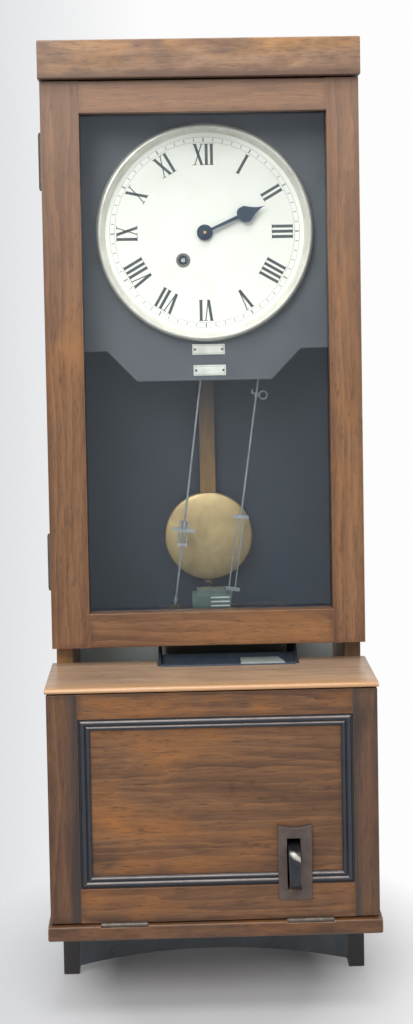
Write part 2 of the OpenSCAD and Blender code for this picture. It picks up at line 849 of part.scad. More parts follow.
module hinge_pin(len, pin_r, head_r, head_t) {
    cylinder(r = pin_r, h = len, $fn = small);
    for (z = [-head_t, len]) translate([0, 0, z]) cylinder(r = head_r, h = head_t, $fn = small);
}
module hinge_pins() color(dark_steel) place() {
    door_hinge_place() hinge_pin(door_hinge_len, door_pin_r, door_head_r, door_head_t);
    flap_hinge_place() hinge_pin(flap_hinge_len, flap_pin_r, flap_head_r, flap_head_t);
}

module door_hinge_leaves() color(steel) place() door_hinge_place()
    hinge_leaf(door_hinge_len, door_knuckles, 1, door_knuckle_r, door_pin_r,
        door_leaf_t, door_leaf_w, door_off_door);

module flap_hinge_leaves() color(steel) place() flap_hinge_place()
    hinge_leaf(flap_hinge_len, flap_knuckles, 1, flap_knuckle_r, flap_pin_r,
        flap_leaf_t, flap_leaf_w, flap_off_flap);

// Upper door
module door_rebate() block(rebate_x, [glass_front, door_back + cut], rebate_z);

module door_stiles() color(oak) place()
    difference() {
        union() {
            block([door_x0, open_x[0]], [door_front, door_back], [door_low, door_high]);
            block([open_x[1], door_x1], [door_front, door_back], [door_low, door_high]);
        }
        door_rebate();
        door_hinge_place() {
            leaf_pocket(door_hinge_len, door_leaf_t, door_leaf_w, door_off_door);
            knuckle_room(door_hinge_len, door_knuckle_r, door_head_t);
        }
    }

module door_rails() color(oak) place()
    difference() {
        union() {
            block(open_x, [door_front, door_back], [door_low, open_z[0]]);
            block(open_x, [door_front, door_back], [open_z[1], door_high]);
        }
        door_rebate();
    }

module door_glass() color(glass_tint) place()
    block(glass_x, [glass_front, glass_front + glass_t], glass_z);

module glazing_beads() color(dark_oak) place() {
    block(rebate_x, bead_y, [rebate_z[0], open_z[0]]);
    block(rebate_x, bead_y, [open_z[1], rebate_z[1]]);
    block([rebate_x[0], open_x[0]], bead_y, open_z);
    block([open_x[1], rebate_x[1]], bead_y, open_z);
}

// Drop front
module lever_slot(y) block(over([slot_x, slot_x], slot_w / 2), y, [slot_low, slot_high]);

module plate_outline()
    difference() {
        translate([plate_x - plate_w / 2, plate_low]) square([plate_w, plate_high - plate_low]);
        translate([plate_x, plate_high - plate_dip + plate_dip_r]) circle(r = plate_dip_r, $fn = fine);
    }

module flap_stiles() color(dark_oak) place()
    difference() {
        union() {
            block([-box_x, flap_in_x[0]], [box_front, flap_back], [flap_low, flap_high]);
            block([flap_in_x[1], box_x], [box_front, flap_back], [flap_low, flap_high]);
        }
        flap_hinge_place() leaf_pocket(flap_hinge_len, flap_leaf_t, flap_leaf_w, flap_off_flap);
    }

module flap_rails() color(dark_oak) place()
    difference() {
        union() {
            block(flap_in_x, [box_front, flap_back], [flap_low, flap_in_z[0]]);
            block(flap_in_x, [box_front, flap_back], [flap_in_z[1], flap_high]);
        }
        flap_hinge_place() leaf_pocket(flap_hinge_len, flap_leaf_t, flap_leaf_w, flap_off_flap);
        lever_slot(over([box_front, flap_back], cut));
    }

module flap_panel() color(oak) place()
    difference() {
        block(flap_in_x, [panel_front, panel_front + panel_t], flap_in_z);
        lever_slot(over([panel_front, panel_front + panel_t], cut));
    }

// Section of the moulding: a low bead next to the field and a high one next to the frame
module mould_section() {
    base = panel_recess / 2;
    square([mould_w, base]);
    for (bead = [bead_in, bead_out]) {
        translate([mould_w * bead[0], base]) circle(r = mould_w * bead[1], $fn = small);
    }
}
// One strip along +X from the origin, with the field towards +Y and the outer edge on y = 0, mitred
module mould_strip(len)
    intersection() {
        rotate([90, 0, 90]) linear_extrude(len) translate([mould_w, 0]) mirror([1, 0]) mould_section();
        linear_extrude(2 * panel_recess) polygon([
            [mitre_gap, 0], [len - mitre_gap, 0],
            [len - mitre_gap - mould_w, mould_w], [mitre_gap + mould_w, mould_w]
        ]);
    }
module panel_moulding() color(oak) place()
    difference() {
        translate([flap_in_x[0], panel_front, flap_in_z[0]]) rotate([90, 0, 0]) {
            w = flap_in_x[1] - flap_in_x[0];
            h = flap_in_z[1] - flap_in_z[0];
            mould_strip(w);
            translate([w, 0, 0]) rotate([0, 0, 90]) mould_strip(h);
            translate([w, h, 0]) rotate([0, 0, 180]) mould_strip(w);
            translate([0, h, 0]) rotate([0, 0, 270]) mould_strip(h);
        }
        slab_y([box_front - panel_recess, panel_front]) plate_outline();
    }

module escutcheon() color(bronze) place()
    difference() {
        union() {
            slab_y([escutcheon_front, box_front]) plate_outline();
            slab_y([box_front - eps, panel_front]) intersection() {
                plate_outline();
                translate([plate_x - plate_w / 2, flap_in_z[0]])
                    square([plate_w, plate_high - flap_in_z[0]]);
            }
        }
        lever_slot(over([escutcheon_front, panel_front], cut));
    }

module escutcheon_screws() color(steel) place()
    for (z = plate_screw_z) {
        difference() {
            bar_y(plate_screw_r, [escutcheon_front - plate_screw_t, escutcheon_front], [slot_x, z]);
            block(over([slot_x, slot_x], plate_screw_r + cut),
                [escutcheon_front - plate_screw_t - cut, escutcheon_front - plate_screw_t / 2],
                over([z, z], screw_slot_w / 2));
        }
    }

// Dial group
module mask_board() color(slate) place()
    difference() {
        slab_y([mask_y, mask_back]) polygon([
            [-inner_x, case_h - top_t], [inner_x, case_h - top_t], [inner_x, mask_low],
            [mask_x + mask_shoulder, mask_low], [mask_x + mask_tongue, mask_end],
            [mask_x - mask_tongue, mask_end], [mask_x - mask_shoulder, mask_low], [-inner_x, mask_low]
        ]);
        dial_place() bar_y(mask_hole_r, over([mask_y, mask_back], cut), [0, 0], fine);
    }

module dial_plate() color(cream) place() dial_place()
    difference() {
        bar_y(dial_r + dial_seat, [dial_front, mask_y], [0, 0], fine);
        bar_y(dial_hole_r, over([dial_front, mask_y], cut), [0, 0]);
        bar_y(wind_hole_r, over([dial_front, mask_y], cut), barrel_at);
    }

module dial_bezel() color(silver) place() dial_place() translate([0, mask_y, 0]) rotate([90, 0, 0])
    rotate_extrude($fn = fine) polygon([
        [dial_r + bezel_seat, 0], [bezel_r, 0], [bezel_r, bezel_d * 0.6], [bezel_r - 2.4, bezel_d * 0.93],
        [bezel_r - 4.8, bezel_d], [bezel_r - 7, bezel_d * 0.75], [dial_r, dial_t + bezel_lip],
        [dial_r, dial_t], [dial_r + bezel_seat, dial_t]
    ]);

module nameplates() color(silver) place()
    for (p = name_at) {
        block(over([p[0], p[0]], name_w / 2), [mask_y - name_t, mask_y], over([p[1], p[1]], name_h / 2));
    }

module nameplate_screws() color(brass) place()
    for (p = name_at, s = [-1, 1]) {
        bar_y(name_screw_r, [mask_y - name_t - name_screw_t, mask_y - name_t],
            [p[0] + s * (name_w / 2 - name_screw_in), p[1]]);
    }

module winding_grommet() color(brass) place() dial_place()
    difference() {
        union() {
            bar_y(grommet_r, [dial_front - grommet_t, dial_front], barrel_at);
            bar_y(wind_hole_r, [dial_front - eps, mask_y], barrel_at);
        }
        bar_y(wind_hole_r - grommet_wall, over([dial_front - grommet_t, mask_y], cut), barrel_at);
    }

// Hands, drawn pointing up and turned clockwise to the time shown. The spade is [half width, length]:
// it widens fast from its root and runs out in a long point
function spade_half(t, taper) =
    t < spade_peak ? sqrt(1 - pow(1 - t / spade_peak, 2)) : pow((1 - t) / (1 - spade_peak), taper);
module spade_hand(reach, hub_r, hub_hole, arm, spade) {
    root = reach - spade[1];
    side = [for (i = [0 : hand_steps]) let(t = i / hand_steps)
        [spade[0] * spade_half(t, spade[2]), root + t * spade[1]]];
    difference() {
        union() {
            circle(r = hub_r, $fn = small);
            translate([-arm, 0]) square([2 * arm, root + spade[1] / 4]);
            polygon(concat(side, [for (i = [hand_steps - 1 : -1 : 0]) [-side[i][0], side[i][1]]]));
        }
        circle(r = hub_hole, $fn = small);
    }
}

module hour_hand() color(blued) place() dial_place() rotate([0, hour_turn, 0])
    slab_y(hour_hand_y) spade_hand(hour_reach, hour_hub_r, hour_pipe_r + fit, hour_arm, hour_spade);

module minute_hand() color(blued) place() dial_place() rotate([0, minute_turn, 0]) {
    slab_y(minute_hand_y) spade_hand(minute_reach, minute_hub_r, pipe_r + fit, minute_arm, minute_spade);
    difference() {
        bar_y(hand_nut_r, hand_nut_y, [0, 0]);
        bar_y(arbor_r + fit, over(hand_nut_y, cut), [0, 0]);
    }
}

// A clock wheel or pinion outline with n teeth of module m; share is the tooth's part of the
// pitch, add and ded are the tooth's height over and under the pitch circle in modules
module gear(n, m, share, add, ded, tip) {
    pr = n * m / 2;
    half = 180 / n * share;
    polygon([for (i = [0 : n - 1], k = [0 : 5]) let(
        side = k < 3 ? -1 : 1,
        step = k < 3 ? k : 5 - k,
        r = [pr - ded * m, pr, pr + add * m][step],
        a = [half * 1.05, half, half * tip][step]
    ) at(r, i * 360 / n + side * a)]);
}
module wheel(n, m) gear(n, m, 0.40, 0.85, 1.3, 0.35);
module pinion(n, m) gear(n, m, 0.36, 0.6, 1.5, 0.5);
module crossings(c)
    for (i = [0 : c[0] - 1]) {
        rotate(i * 360 / c[0]) translate([(c[1] + c[2]) / 2, 0]) circle(r = (c[2] - c[1]) / 2, $fn = small);
    }

// Movement
module movement_outline()
    translate([-movement_w / 2, -movement_down]) square([movement_w, movement_down + movement_up]);
module plate_bores(y) {
    bar_y(arbor_r + run_gap, y, [0, 0]);
    bar_y(wind_r + run_gap, y, barrel_at);
    bar_y(small_arbor_r + run_gap, y, third_at);
    bar_y(small_arbor_r + run_gap, y, escape_at);
    bar_y(small_arbor_r + run_gap, y, anchor_at);
    for (p = pillar_at) bar_y(pillar_r / 2, y, p);
}
module front_plate() color(brass) place() dial_place() {
    difference() {
        slab_y(fp) movement_outline();
        plate_bores(over(fp, cut));
    }
    bar_y(stud_r, [motion_stud_y, fp[0] + eps], motion_at);
    bar_y(stud_r, [ratchet_y[0] - click_post, fp[0] + eps], click_pivot);
}
module back_plate() color(brass) place() dial_place()
    difference() {
        slab_y(bp) movement_outline();
        plate_bores(over(bp, cut));
    }
// Each pillar runs from the backboard through the back plate to the front plate
module movement_pillars() color(brass) place() dial_place()
    for (p = pillar_at) {
        bar_y(pillar_r, [bp[1], -back_t], p);
        bar_y(pillar_r / 2, over(bp, eps), p);
        bar_y(pillar_r, [fp[1], bp[0]], p);
        bar_y(pillar_r / 2, [fp[0] - pillar_nut_t, fp[1] + eps], p);
        bar_y(pillar_r, [fp[0] - pillar_nut_t, fp[0]], p);
    }

module centre_wheel() color(brass) place() dial_place() {
    bar_y(arbor_r, [hand_nut_y[0] - arbor_end, bp[1] - arbor_end], [0, 0]);
    slab_y(over(great_y, pinion_over)) pinion(centre_pinion_n, great_m);
    slab_y(centre_y) difference() {
        rotate(centre_phase) wheel(centre_n, centre_m);
        crossings(centre_spokes);
    }
}
module cannon_pinion() color(steel) place() dial_place() {
    pipe_y = [minute_hand_y[0] - pipe_over, cannon_y[1] + pipe_over];
    difference() {
        union() {
            bar_y(pipe_r, pipe_y, [0, 0]);
            slab_y(cannon_y) pinion(cannon_n, cannon_m);
        }
        bar_y(arbor_r + fit, over(pipe_y, cut), [0, 0]);
    }
}
module minute_wheel() color(brass) place() dial_place(motion_at)
    difference() {
        union() {
            slab_y(minute_y) difference() {
                rotate(motion_phase) wheel(minute_n, cannon_m);
                crossings(minute_spokes);
            }
            slab_y([motion_pinion_y, minute_y[0] + eps])
                rotate(motion_angle + 180) pinion(minute_pinion_n, hour_m);
        }
        bar_y(stud_r + run_gap, over([motion_pinion_y, minute_y[1]], cut), [0, 0]);
    }
module hour_wheel() color(brass) place() dial_place() {
    pipe_y = [hour_hand_y[0] - pipe_over, hour_y[1] + hour_pipe_end];
    difference() {
        union() {
            slab_y(hour_y) difference() {
                rotate(hour_phase) wheel(hour_n, hour_m);
                crossings(hour_spokes);
            }
            bar_y(hour_pipe_r, pipe_y, [0, 0]);
        }
        bar_y(pipe_r + run_gap, over(pipe_y, cut), [0, 0]);
    }
}
module great_barrel() color(brass) place() dial_place(barrel_at)
    difference() {
        union() {
            slab_y(great_y) rotate(great_phase) wheel(great_n, great_m);
            bar_y(barrel_r, [barrel_y, great_y[0] + eps], [0, 0], fine);
            bar_y(barrel_lip_r, barrel_lip_y, [0, 0], fine);
        }
        bar_y(wind_r + run_gap, over([barrel_y, great_y[1]], cut), [0, 0]);
    }
module winding_arbor() color(steel) place() dial_place(barrel_at) {
    half = wind_square / 2;
    bar_y(wind_r, [wind_round_y, bp[1] - arbor_end], [0, 0]);
    block([-half, half], [wind_square_y, wind_round_y + eps], [-half, half]);
    slab_y(ratchet_y) polygon([for (i = [0 : ratchet_n - 1], k = [0, 1])
        at(ratchet_r - k * ratchet_tooth, i * 360 / ratchet_n + k * 2)]);
}
module winding_click() color(steel) place() dial_place()
    difference() {
        slab_y(ratchet_y) taper(click_pivot, click_hub_r, click_nose, click_nose_r);
        bar_y(stud_r + fit, over(ratchet_y, cut), click_pivot);
    }
module third_wheel() color(brass) place() dial_place(third_at) {
    bar_y(small_arbor_r, [fp[0] + arbor_end, bp[1] - arbor_end], [0, 0]);
    slab_y(over(centre_y, leaf_over)) rotate(third_phase) pinion(third_pinion_n, centre_m);
    slab_y(third_y) difference() {
        rotate(escape_line) wheel(third_n, third_m);
        crossings(third_spokes);
    }
}
module escape_wheel() color(brass) place() dial_place(escape_at) {
    root = escape_r - escape_tooth;
    bar_y(small_arbor_r, [fp[0] + arbor_end, bp[1] - arbor_end], [0, 0]);
    slab_y(over(third_y, leaf_over)) rotate(escape_phase) pinion(escape_pinion_n, third_m);
    slab_y(escape_y) difference() {
        polygon([for (i = [0 : escape_n - 1], p = [[root, 0], [escape_r, 2], [root, 5]])
            at(p[0], i * 360 / escape_n + p[1])]);
        crossings(escape_spokes);
    }
}
// The turn of a wheel of n2 teeth that sets them in the gaps of a wheel of n1 teeth turned by p1,
// where a is the direction from the first wheel to the second
function mesh_turn(a, p1, n1, n2) = a + 180 + 180 / n2 - (p1 - a) * n1 / n2;
great_phase = mesh_turn(barrel_angle, 0, centre_pinion_n, great_n);
centre_phase = third_angle;
third_phase = mesh_turn(third_angle, centre_phase, centre_n, third_pinion_n);
escape_line = atan2(escape_at[1] - third_at[1], escape_at[0] - third_at[0]);
escape_phase = mesh_turn(escape_line, escape_line, third_n, escape_pinion_n);
motion_phase = mesh_turn(motion_angle, 0, cannon_n, minute_n);
hour_phase = mesh_turn(motion_angle + 180, motion_angle + 180, minute_pinion_n, hour_n);

module anchor() color(steel) place() dial_place() {
    root = anchor_at + pallet_root;
    tip = escape_at + at(escape_r + pallet_clear + pallet_tip_r, pallet_angle);
    fork_z = anchor_at[1] - crutch_len - crutch_w;
    bar_y(small_arbor_r, [fp[0] + arbor_end, crutch_y[1]], anchor_at);
    slab_y(over(escape_y, anchor_side)) translate(anchor_at) circle(r = anchor_hub_r, $fn = small);
    slab_y(over(escape_y, anchor_side / 2)) for (s = [-1, 1]) scale([s, 1]) {
        taper(anchor_at, anchor_hub_r - eps, root, pallet_root_r);
        taper(root, pallet_root_r, tip, pallet_tip_r);
    }
    slab_y(crutch_y) translate(anchor_at) {
        circle(r = anchor_hub_r, $fn = small);
        translate([-crutch_w / 2, -crutch_len]) square([crutch_w, crutch_len]);
        translate([-fork_x - fork_t, -crutch_len - crutch_w]) square([2 * (fork_x + fork_t), fork_h]);
    }
    for (s = [-1, 1]) {
        block(pair(s, fork_x, fork_x + fork_t),
            [crutch_y[1] - eps, pend_y + fork_t], [fork_z, fork_z + fork_h]);
    }
}

// Pendulum
module suspension_cock() color(brass) place()
    difference() {
        union() {
            block(over([dial_x, dial_x], cock_half), [pend_y - spring_w / 2 - 2, -back_t],
                [swing_h + cock_z[0], swing_h + cock_z[1]]);
            block(over([dial_x, dial_x], cock_foot_half), [-back_t - cock_foot_t, -back_t],
                [swing_h + cock_foot_z[0], swing_h + cock_foot_z[1]]);
        }
        block(over([dial_x, dial_x], spring_t / 2 + cock_slot),
            [pend_y - spring_w, pend_y + spring_w / 2 + 1], [swing_h, swing_h + cock_slot_h]);
    }
module suspension_spring() color(steel) place()
    block(over([dial_x, dial_x], spring_t / 2), over([pend_y, pend_y], spring_w / 2),
        [lath_top, swing_h + spring_high]);
module lath(z) block(over([dial_x, dial_x], lath_w / 2), over([pend_y, pend_y], lath_t / 2), z);
module rating_bar(r, z) translate([dial_x, pend_y, z[0]]) cylinder(r = r, h = z[1] - z[0], $fn = small);
module pendulum_rod() color(oak) place() {
    lath([lath_low, lath_top]);
    rating_bar(rating_r, [bob_low - rating_end, lath_low + eps]);
}
module pendulum_bob() color(matt_brass) place()
    difference() {
        translate([dial_x, pend_y, bob_h]) rotate([90, 0, 0]) rotate_extrude($fn = fine) polygon(concat(
            [for (p = bob_curve) [bob_r * p[0], -bob_t * p[1]]],
            [for (i = [len(bob_curve) - 1 : -1 : 0]) [bob_r * bob_curve[i][0], bob_t * bob_curve[i][1]]]
        ));
        lath([lath_low, bob_h + bob_r + cut]);
        rating_bar(rating_r + fit, [bob_low - cut, lath_low + cut]);
    }
module rating_nut() color(brass) place() {
    nut_z = [bob_low - free_gap / 2 - rating_nut_t, bob_low - free_gap / 2];
    difference() {
        rating_bar(rating_nut_r, nut_z);
        rating_bar(rating_r + fit, over(nut_z, cut));
    }
}

// Link rods: places the children at height h on the rod, upright along it
module on_link(x, h) translate([link_x(x, h), -link_y, h]) rotate([0, link_lean(x), 0]) children();
function link_run(x, low, high) = (high - low) / cos(link_lean(x));
module link_part(x, low, high, r) on_link(x, low) cylinder(r = r, h = link_run(x, low, high), $fn = small);
module link_block(half, z) block([-half, half], [-bar_t / 2, bar_t / 2], z);
module link_rod_left() color(steel) place() {
    link_part(left_x, link_low, link_top, link_r);
    on_link(left_x, left_bar_h) {
        link_block(left_bar_half, [-bar_half_h, bar_half_h]);
        for (s = [-1, 1]) {
            translate([s * prong_gap, 0, prong_z[0]])
                cylinder(r = prong_r, h = prong_z[1] - prong_z[0], $fn = small);
        }
        link_block(prong_gap + prong_r, [prong_z[0], prong_z[0] + bar_t]);
        cylinder(r = collar_r, h = 2 * collar_t, $fn = small);
    }
    on_link(left_x, collar_h[0]) cylinder(r = collar_r, h = collar_t, $fn = small);
}
module link_rod_right() color(steel) place() {
    link_part(right_x, link_low, yoke_h[0] + bar_half_h, link_r);
    link_part(right_x, yoke_h[1] - bar_half_h, link_top, link_r);
    for (h = yoke_h) on_link(right_x, h) link_block(yoke_half, [-bar_half_h, bar_half_h]);
    on_link(right_x, yoke_h[0]) for (s = [-1, 1]) {
        translate([s * wire_gap, 0, 0])
            cylinder(r = wire_r, h = link_run(right_x, yoke_h[0], yoke_h[1]), $fn = small);
    }
    on_link(right_x, collar_h[1]) cylinder(r = collar_r, h = collar_t, $fn = small);
    on_link(right_x, ring_h) {
        block([collar_r - ring_wire_r, ring_x - ring_r],
            [-hook_t / 2, hook_t / 2], [-hook_t / 2, hook_t / 2]);
        translate([ring_x, 0, 0]) rotate([90, 0, 0])
            rotate_extrude($fn = 2 * small) translate([ring_r, 0]) circle(r = ring_wire_r, $fn = small);
        block([hook_x, hook_x + hook_len], [-hook_t / 2, hook_t / 2], [0, hook_t]);
        block([hook_x, hook_x + hook_t], [-hook_t / 2, hook_t / 2], [0, hook_len]);
    }
}
module guide_bore(x, h)
    on_link(x, h) translate([0, 0, -guide_reach])
        cylinder(r = link_r + guide_play, h = 2 * guide_reach, $fn = small);
module rod_guides() color(brass) place()
    difference() {
        for (x = [left_x, right_x]) {
            block(over([link_x(x, guide_h), link_x(x, guide_h)], guide_size / 2),
                [mask_back, -link_y + guide_size / 2], over([guide_h, guide_h], guide_half));
            block(over([link_x(x, guide_low), link_x(x, guide_low)], guide_size / 2),
                over([-link_y, -link_y], guide_size / 2), over([guide_low, guide_low], guide_half));
        }
        for (x = [left_x, right_x], h = [guide_h, guide_low]) guide_bore(x, h);
    }

// Recorder
module recorder_side_plates() color(steel) place()
    difference() {
        for (x = [[rec_out[0], rec_in[0]], [rec_in[1], rec_out[1]]]) {
            slab_x(x) polygon([
                [rec_front, base_top], [rec_back, base_top],
                [rec_back, deck_h - rec_t], [rec_top_y, deck_h - rec_t],
                [rec_top_y, door_low - rec_t], [cut_y + rec_set, top_board_h + rec_over],
                [cut_y + rec_set, top_board_h - rec_shoulder[0]], [rec_front, lever_axis[1] + rec_shoulder[1]]
            ]);
        }
        bar_x(type_shaft_r + run_gap, over(rec_out, cut), type_axis);
        for (p = [lever_axis, hammer_axis]) bar_x(shaft_r, over(rec_out, cut), p);
    }
module recorder_deck() color(silver) place()
    difference() {
        union() {
            block(rec_out, [rec_top_y, rec_back], [deck_h - rec_t, deck_h]);
            block(block_x, block_y, [deck_h - eps, deck_h + block_h]);
            block(over(block_x, -cap_in[0]), over(block_y, -cap_in[1]),
                [deck_h + block_h - eps, deck_h + block_h + cap_h]);
        }
        for (x = [left_x, right_x]) guide_bore(x, deck_h);
    }

// Outline of a strip along the chute from s[0] to s[1], between n[0] and n[1] square to it
module slope_strip(s, n)
    polygon([slope(s[0], n[0]), slope(s[1], n[0]), slope(s[1], n[1]), slope(s[0], n[1])]);
module chute_window(n)
    slab_x(over([rec_x, rec_x], window_w / 2))
        slope_strip(over([window_s, window_s], window_len / 2), over(n, cut));
module card_chute() color(steel) place() {
    front_n = [-chute_t, 0];
    back_n = [card_gap, card_gap + chute_t];
    difference() {
        slab_x(rec_in) {
            polygon([slope(0, front_n[0]), slope(chute_len, front_n[0]), slope(chute_len, 0), slope(0, 0),
                [lip_y[1], lip_h], [lip_y[0], lip_h],
                [lip_y[0], top_board_h], [cut_y + chute_t, top_board_h]]);
            polygon([slope(0, back_n[0]), slope(chute_len, back_n[0]), slope(chute_len, back_n[1]),
                slope(0, back_n[1]), back_lip, back_lip + [-chute_t / 2, chute_t]]);
        }
        chute_window(front_n);
        chute_window(back_n);
    }
    slab_x(over([rec_x, rec_x], stop_half))
        slope_strip([chute_len - stop_t, chute_len], over([0, card_gap], -eps));
    translate([0, 0, lip_h]) linear_extrude(chute_t) polygon([
        [gate_x[0], gate_y[0]], [gate_x[1], gate_y[0]],
        [gate_x[1] - gate_slant, gate_y[1]], [gate_x[0], gate_y[1]]
    ]);
}

module recorder_shafts() color(steel) place()
    for (p = [lever_axis, hammer_axis]) bar_x(shaft_r, over(rec_out, shaft_r), p);

module type_wheels() color(dark_steel) place() {
    half = type_count * type_pitch / 2;
    bar_x(type_shaft_r, over(rec_out, 2 * type_shaft_r), type_axis);
    for (i = [0 : type_count - 1]) {
        x = rec_x + (i + 0.5) * type_pitch - half;
        bar_x(type_r, over([x, x], type_w / 2), type_axis, type_sides);
    }
    bar_x(type_hub_r, over([rec_x, rec_x], half + type_hub_over), type_axis);
    slab_x([rec_in[0] + feed_in, rec_in[0] + feed_in + feed_t]) translate(type_axis)
        polygon([for (i = [0 : feed_n - 1], k = [0, 1]) at(feed_r[k], (i + k / 4) * 360 / feed_n)]);
}

module print_lever() color(dark_steel) place()
    difference() {
        union() {
            bar_x(tube_r, tube_x, lever_axis);
            slab_x(over([slot_x, slot_x], lever_w / 2)) {
                taper(lever_axis, arm_r, shoulder_at, shoulder_r);
                taper(shoulder_at, shoulder_r, tip_at, tip_r);
            }
            slab_x([rec_x - tube_half, rec_x]) taper(lever_axis, nose_root_r, nose_at, nose_r);
        }
        bar_x(shaft_r + run_gap, over(tube_x, cut), lever_axis);
    }

// Print hammer, drawn against the card and turned back about its shaft
module print_hammer() color(dark_steel) place() {
    shaft_s = window_s + hammer_drop;
    shaft_n = card_gap / 2 - hammer_set;
    difference() {
        union() {
            bar_x(tube_r, over([rec_x, rec_x], hammer_half), hammer_axis);
            translate([0, hammer_axis[0], hammer_axis[1]]) rotate([hammer_back, 0, 0])
                translate([0, -hammer_axis[0], -hammer_axis[1]]) {
                    slab_x(over([rec_x, rec_x], stem_half)) polygon([
                        slope(stem_s, stem_n[0]), slope(stem_s, stem_n[1]),
                        slope(shaft_s, shaft_n + stem_half), slope(shaft_s, shaft_n - stem_half)
                    ]);
                    slab_x(over([rec_x, rec_x], head_half[1]))
                        slope_strip(over([window_s, window_s], head_half[0]), head_n);
                }
            slab_x([rec_x - tube_half, rec_x]) polygon([
                hammer_axis + [0, stem_half], hammer_axis - [0, stem_half], [tail_y[1], tail_h],
                [tail_y[0], tail_h], [tail_y[0], tail_h + stem_half]
            ]);
        }
        bar_x(shaft_r + run_gap, over([rec_x, rec_x], hammer_half + cut), hammer_axis);
    }
}

// Torsion spring round the lever tube: a helix on a straight leg that stands on the base board
function coil_point(i) = let(a = i * 360 / coil_steps)
    [coil_x + i * coil_pitch / coil_steps,
        lever_axis[0] + coil_r * cos(a), lever_axis[1] + coil_r * sin(a)];
function coil_ring(p, out) = [for (k = [0 : coil_sides - 1]) let(a = k * 360 / coil_sides)
    p + coil_wire_r * ([1, 0, 0] * cos(a) + out * sin(a))];
module lever_spring() color(steel) place() {
    rings = coil_turns * coil_steps;
    pts = [for (i = [0 : rings]) let(p = coil_point(i))
        each coil_ring(p, (p - [p[0], lever_axis[0], lever_axis[1]]) / coil_r)];
    faces = concat(
        [[for (k = [0 : coil_sides - 1]) k]],
        [[for (k = [coil_sides - 1 : -1 : 0]) rings * coil_sides + k]],
        [for (i = [0 : rings - 1], k = [0 : coil_sides - 1])
            let(n = (k + 1) % coil_sides, a = i * coil_sides, b = a + coil_sides)
            each [[a + k, b + k, a + n], [a + n, b + k, b + n]]]
    );
    polyhedron(pts, faces);
    translate([coil_x, lever_axis[0] + coil_r, base_top])
        cylinder(r = coil_wire_r, h = lever_axis[1] - base_top, $fn = small);
}

backboard();
case_sides();
case_top();
foot_apron();
cornice_fascias();
cornice_lid();
box_sides();
top_board();
base_board();
fixed_hinge_leaves();
hinge_pins();
door_stiles();
door_rails();
door_glass();
glazing_beads();
door_hinge_leaves();
flap_stiles();
flap_rails();
flap_panel();
panel_moulding();
escutcheon();
escutcheon_screws();
flap_hinge_leaves();
mask_board();
dial_plate();
dial_bezel();
nameplates();
nameplate_screws();
winding_grommet();
minute_hand();
hour_hand();
front_plate();
back_plate();
movement_pillars();
winding_click();
centre_wheel();
cannon_pinion();
minute_wheel();
hour_wheel();
great_barrel();
winding_arbor();
third_wheel();
escape_wheel();
anchor();
suspension_cock();
suspension_spring();
pendulum_rod();
pendulum_bob();
rating_nut();
link_rod_left();
link_rod_right();
rod_guides();
recorder_side_plates();
recorder_deck();
card_chute();
recorder_shafts();
type_wheels();
print_lever();
print_hammer();
lever_spring();
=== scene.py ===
"""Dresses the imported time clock: bevelled wood and metal, a painted dial and procedural finishes.

Lengths are in metres, as in the frame. Places and sizes that are given in millimetres say so.
"""

import json
import math

import bmesh
import bpy
from mathutils import Matrix, Vector


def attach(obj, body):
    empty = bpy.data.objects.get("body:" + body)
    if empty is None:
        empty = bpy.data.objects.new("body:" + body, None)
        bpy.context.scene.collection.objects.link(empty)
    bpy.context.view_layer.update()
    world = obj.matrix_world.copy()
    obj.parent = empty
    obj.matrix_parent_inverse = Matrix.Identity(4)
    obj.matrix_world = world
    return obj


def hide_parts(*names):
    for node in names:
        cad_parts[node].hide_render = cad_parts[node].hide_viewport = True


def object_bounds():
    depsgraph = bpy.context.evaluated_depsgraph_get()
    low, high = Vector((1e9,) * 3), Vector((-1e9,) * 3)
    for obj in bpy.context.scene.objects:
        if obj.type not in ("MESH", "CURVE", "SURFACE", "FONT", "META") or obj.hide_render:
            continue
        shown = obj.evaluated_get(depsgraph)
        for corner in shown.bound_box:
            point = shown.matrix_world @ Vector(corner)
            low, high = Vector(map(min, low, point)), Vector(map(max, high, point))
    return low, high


MM = 0.001

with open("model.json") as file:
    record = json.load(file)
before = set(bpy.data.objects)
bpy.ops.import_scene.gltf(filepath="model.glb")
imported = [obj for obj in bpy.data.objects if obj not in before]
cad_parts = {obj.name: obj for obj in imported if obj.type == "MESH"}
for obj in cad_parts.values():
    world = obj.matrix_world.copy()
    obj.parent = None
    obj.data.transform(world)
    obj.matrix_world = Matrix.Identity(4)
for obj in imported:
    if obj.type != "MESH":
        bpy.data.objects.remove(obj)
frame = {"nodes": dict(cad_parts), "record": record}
cad_low, cad_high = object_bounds()
nodes = frame["nodes"]
behaviour = frame["record"]["behaviour"]
body_of_node = {node: body for body, members in behaviour["bodies"].items() for node in members}
slot_of_node = {part["node"]: part["material_slot"] for part in frame["record"]["subparts"]}
joints = {joint["name"]: joint for joint in behaviour["joints"]}
scene = bpy.context.scene


# Places taken from the CAD nodes

def corner_pair(places):
    """The low and high corner of the box round some places."""
    places = list(places)
    return [Vector([pick(place[k] for place in places) for k in range(3)]) for pick in (min, max)]


def corners(node):
    """The low and high corner of a CAD node, in mm."""
    return corner_pair(vertex.co / MM for vertex in nodes[node].data.vertices)


def islands(work):
    """The connected parts of a bmesh, as lists of vertices."""
    seen, found = set(), []
    for start in work.verts:
        if start in seen:
            continue
        seen.add(start)
        group, queue = [], [start]
        while queue:
            vert = queue.pop()
            group.append(vert)
            for edge in vert.link_edges:
                other = edge.other_vert(vert)
                if other not in seen:
                    seen.add(other)
                    queue.append(other)
        found.append(group)
    return found


WELD = 0.002 * MM


def welded(node):
    """A CAD node as a bmesh in which faces that meet share their vertices."""
    work = bmesh.new()
    work.from_mesh(nodes[node].data)
    bmesh.ops.remove_doubles(work, verts=work.verts, dist=WELD)
    return work


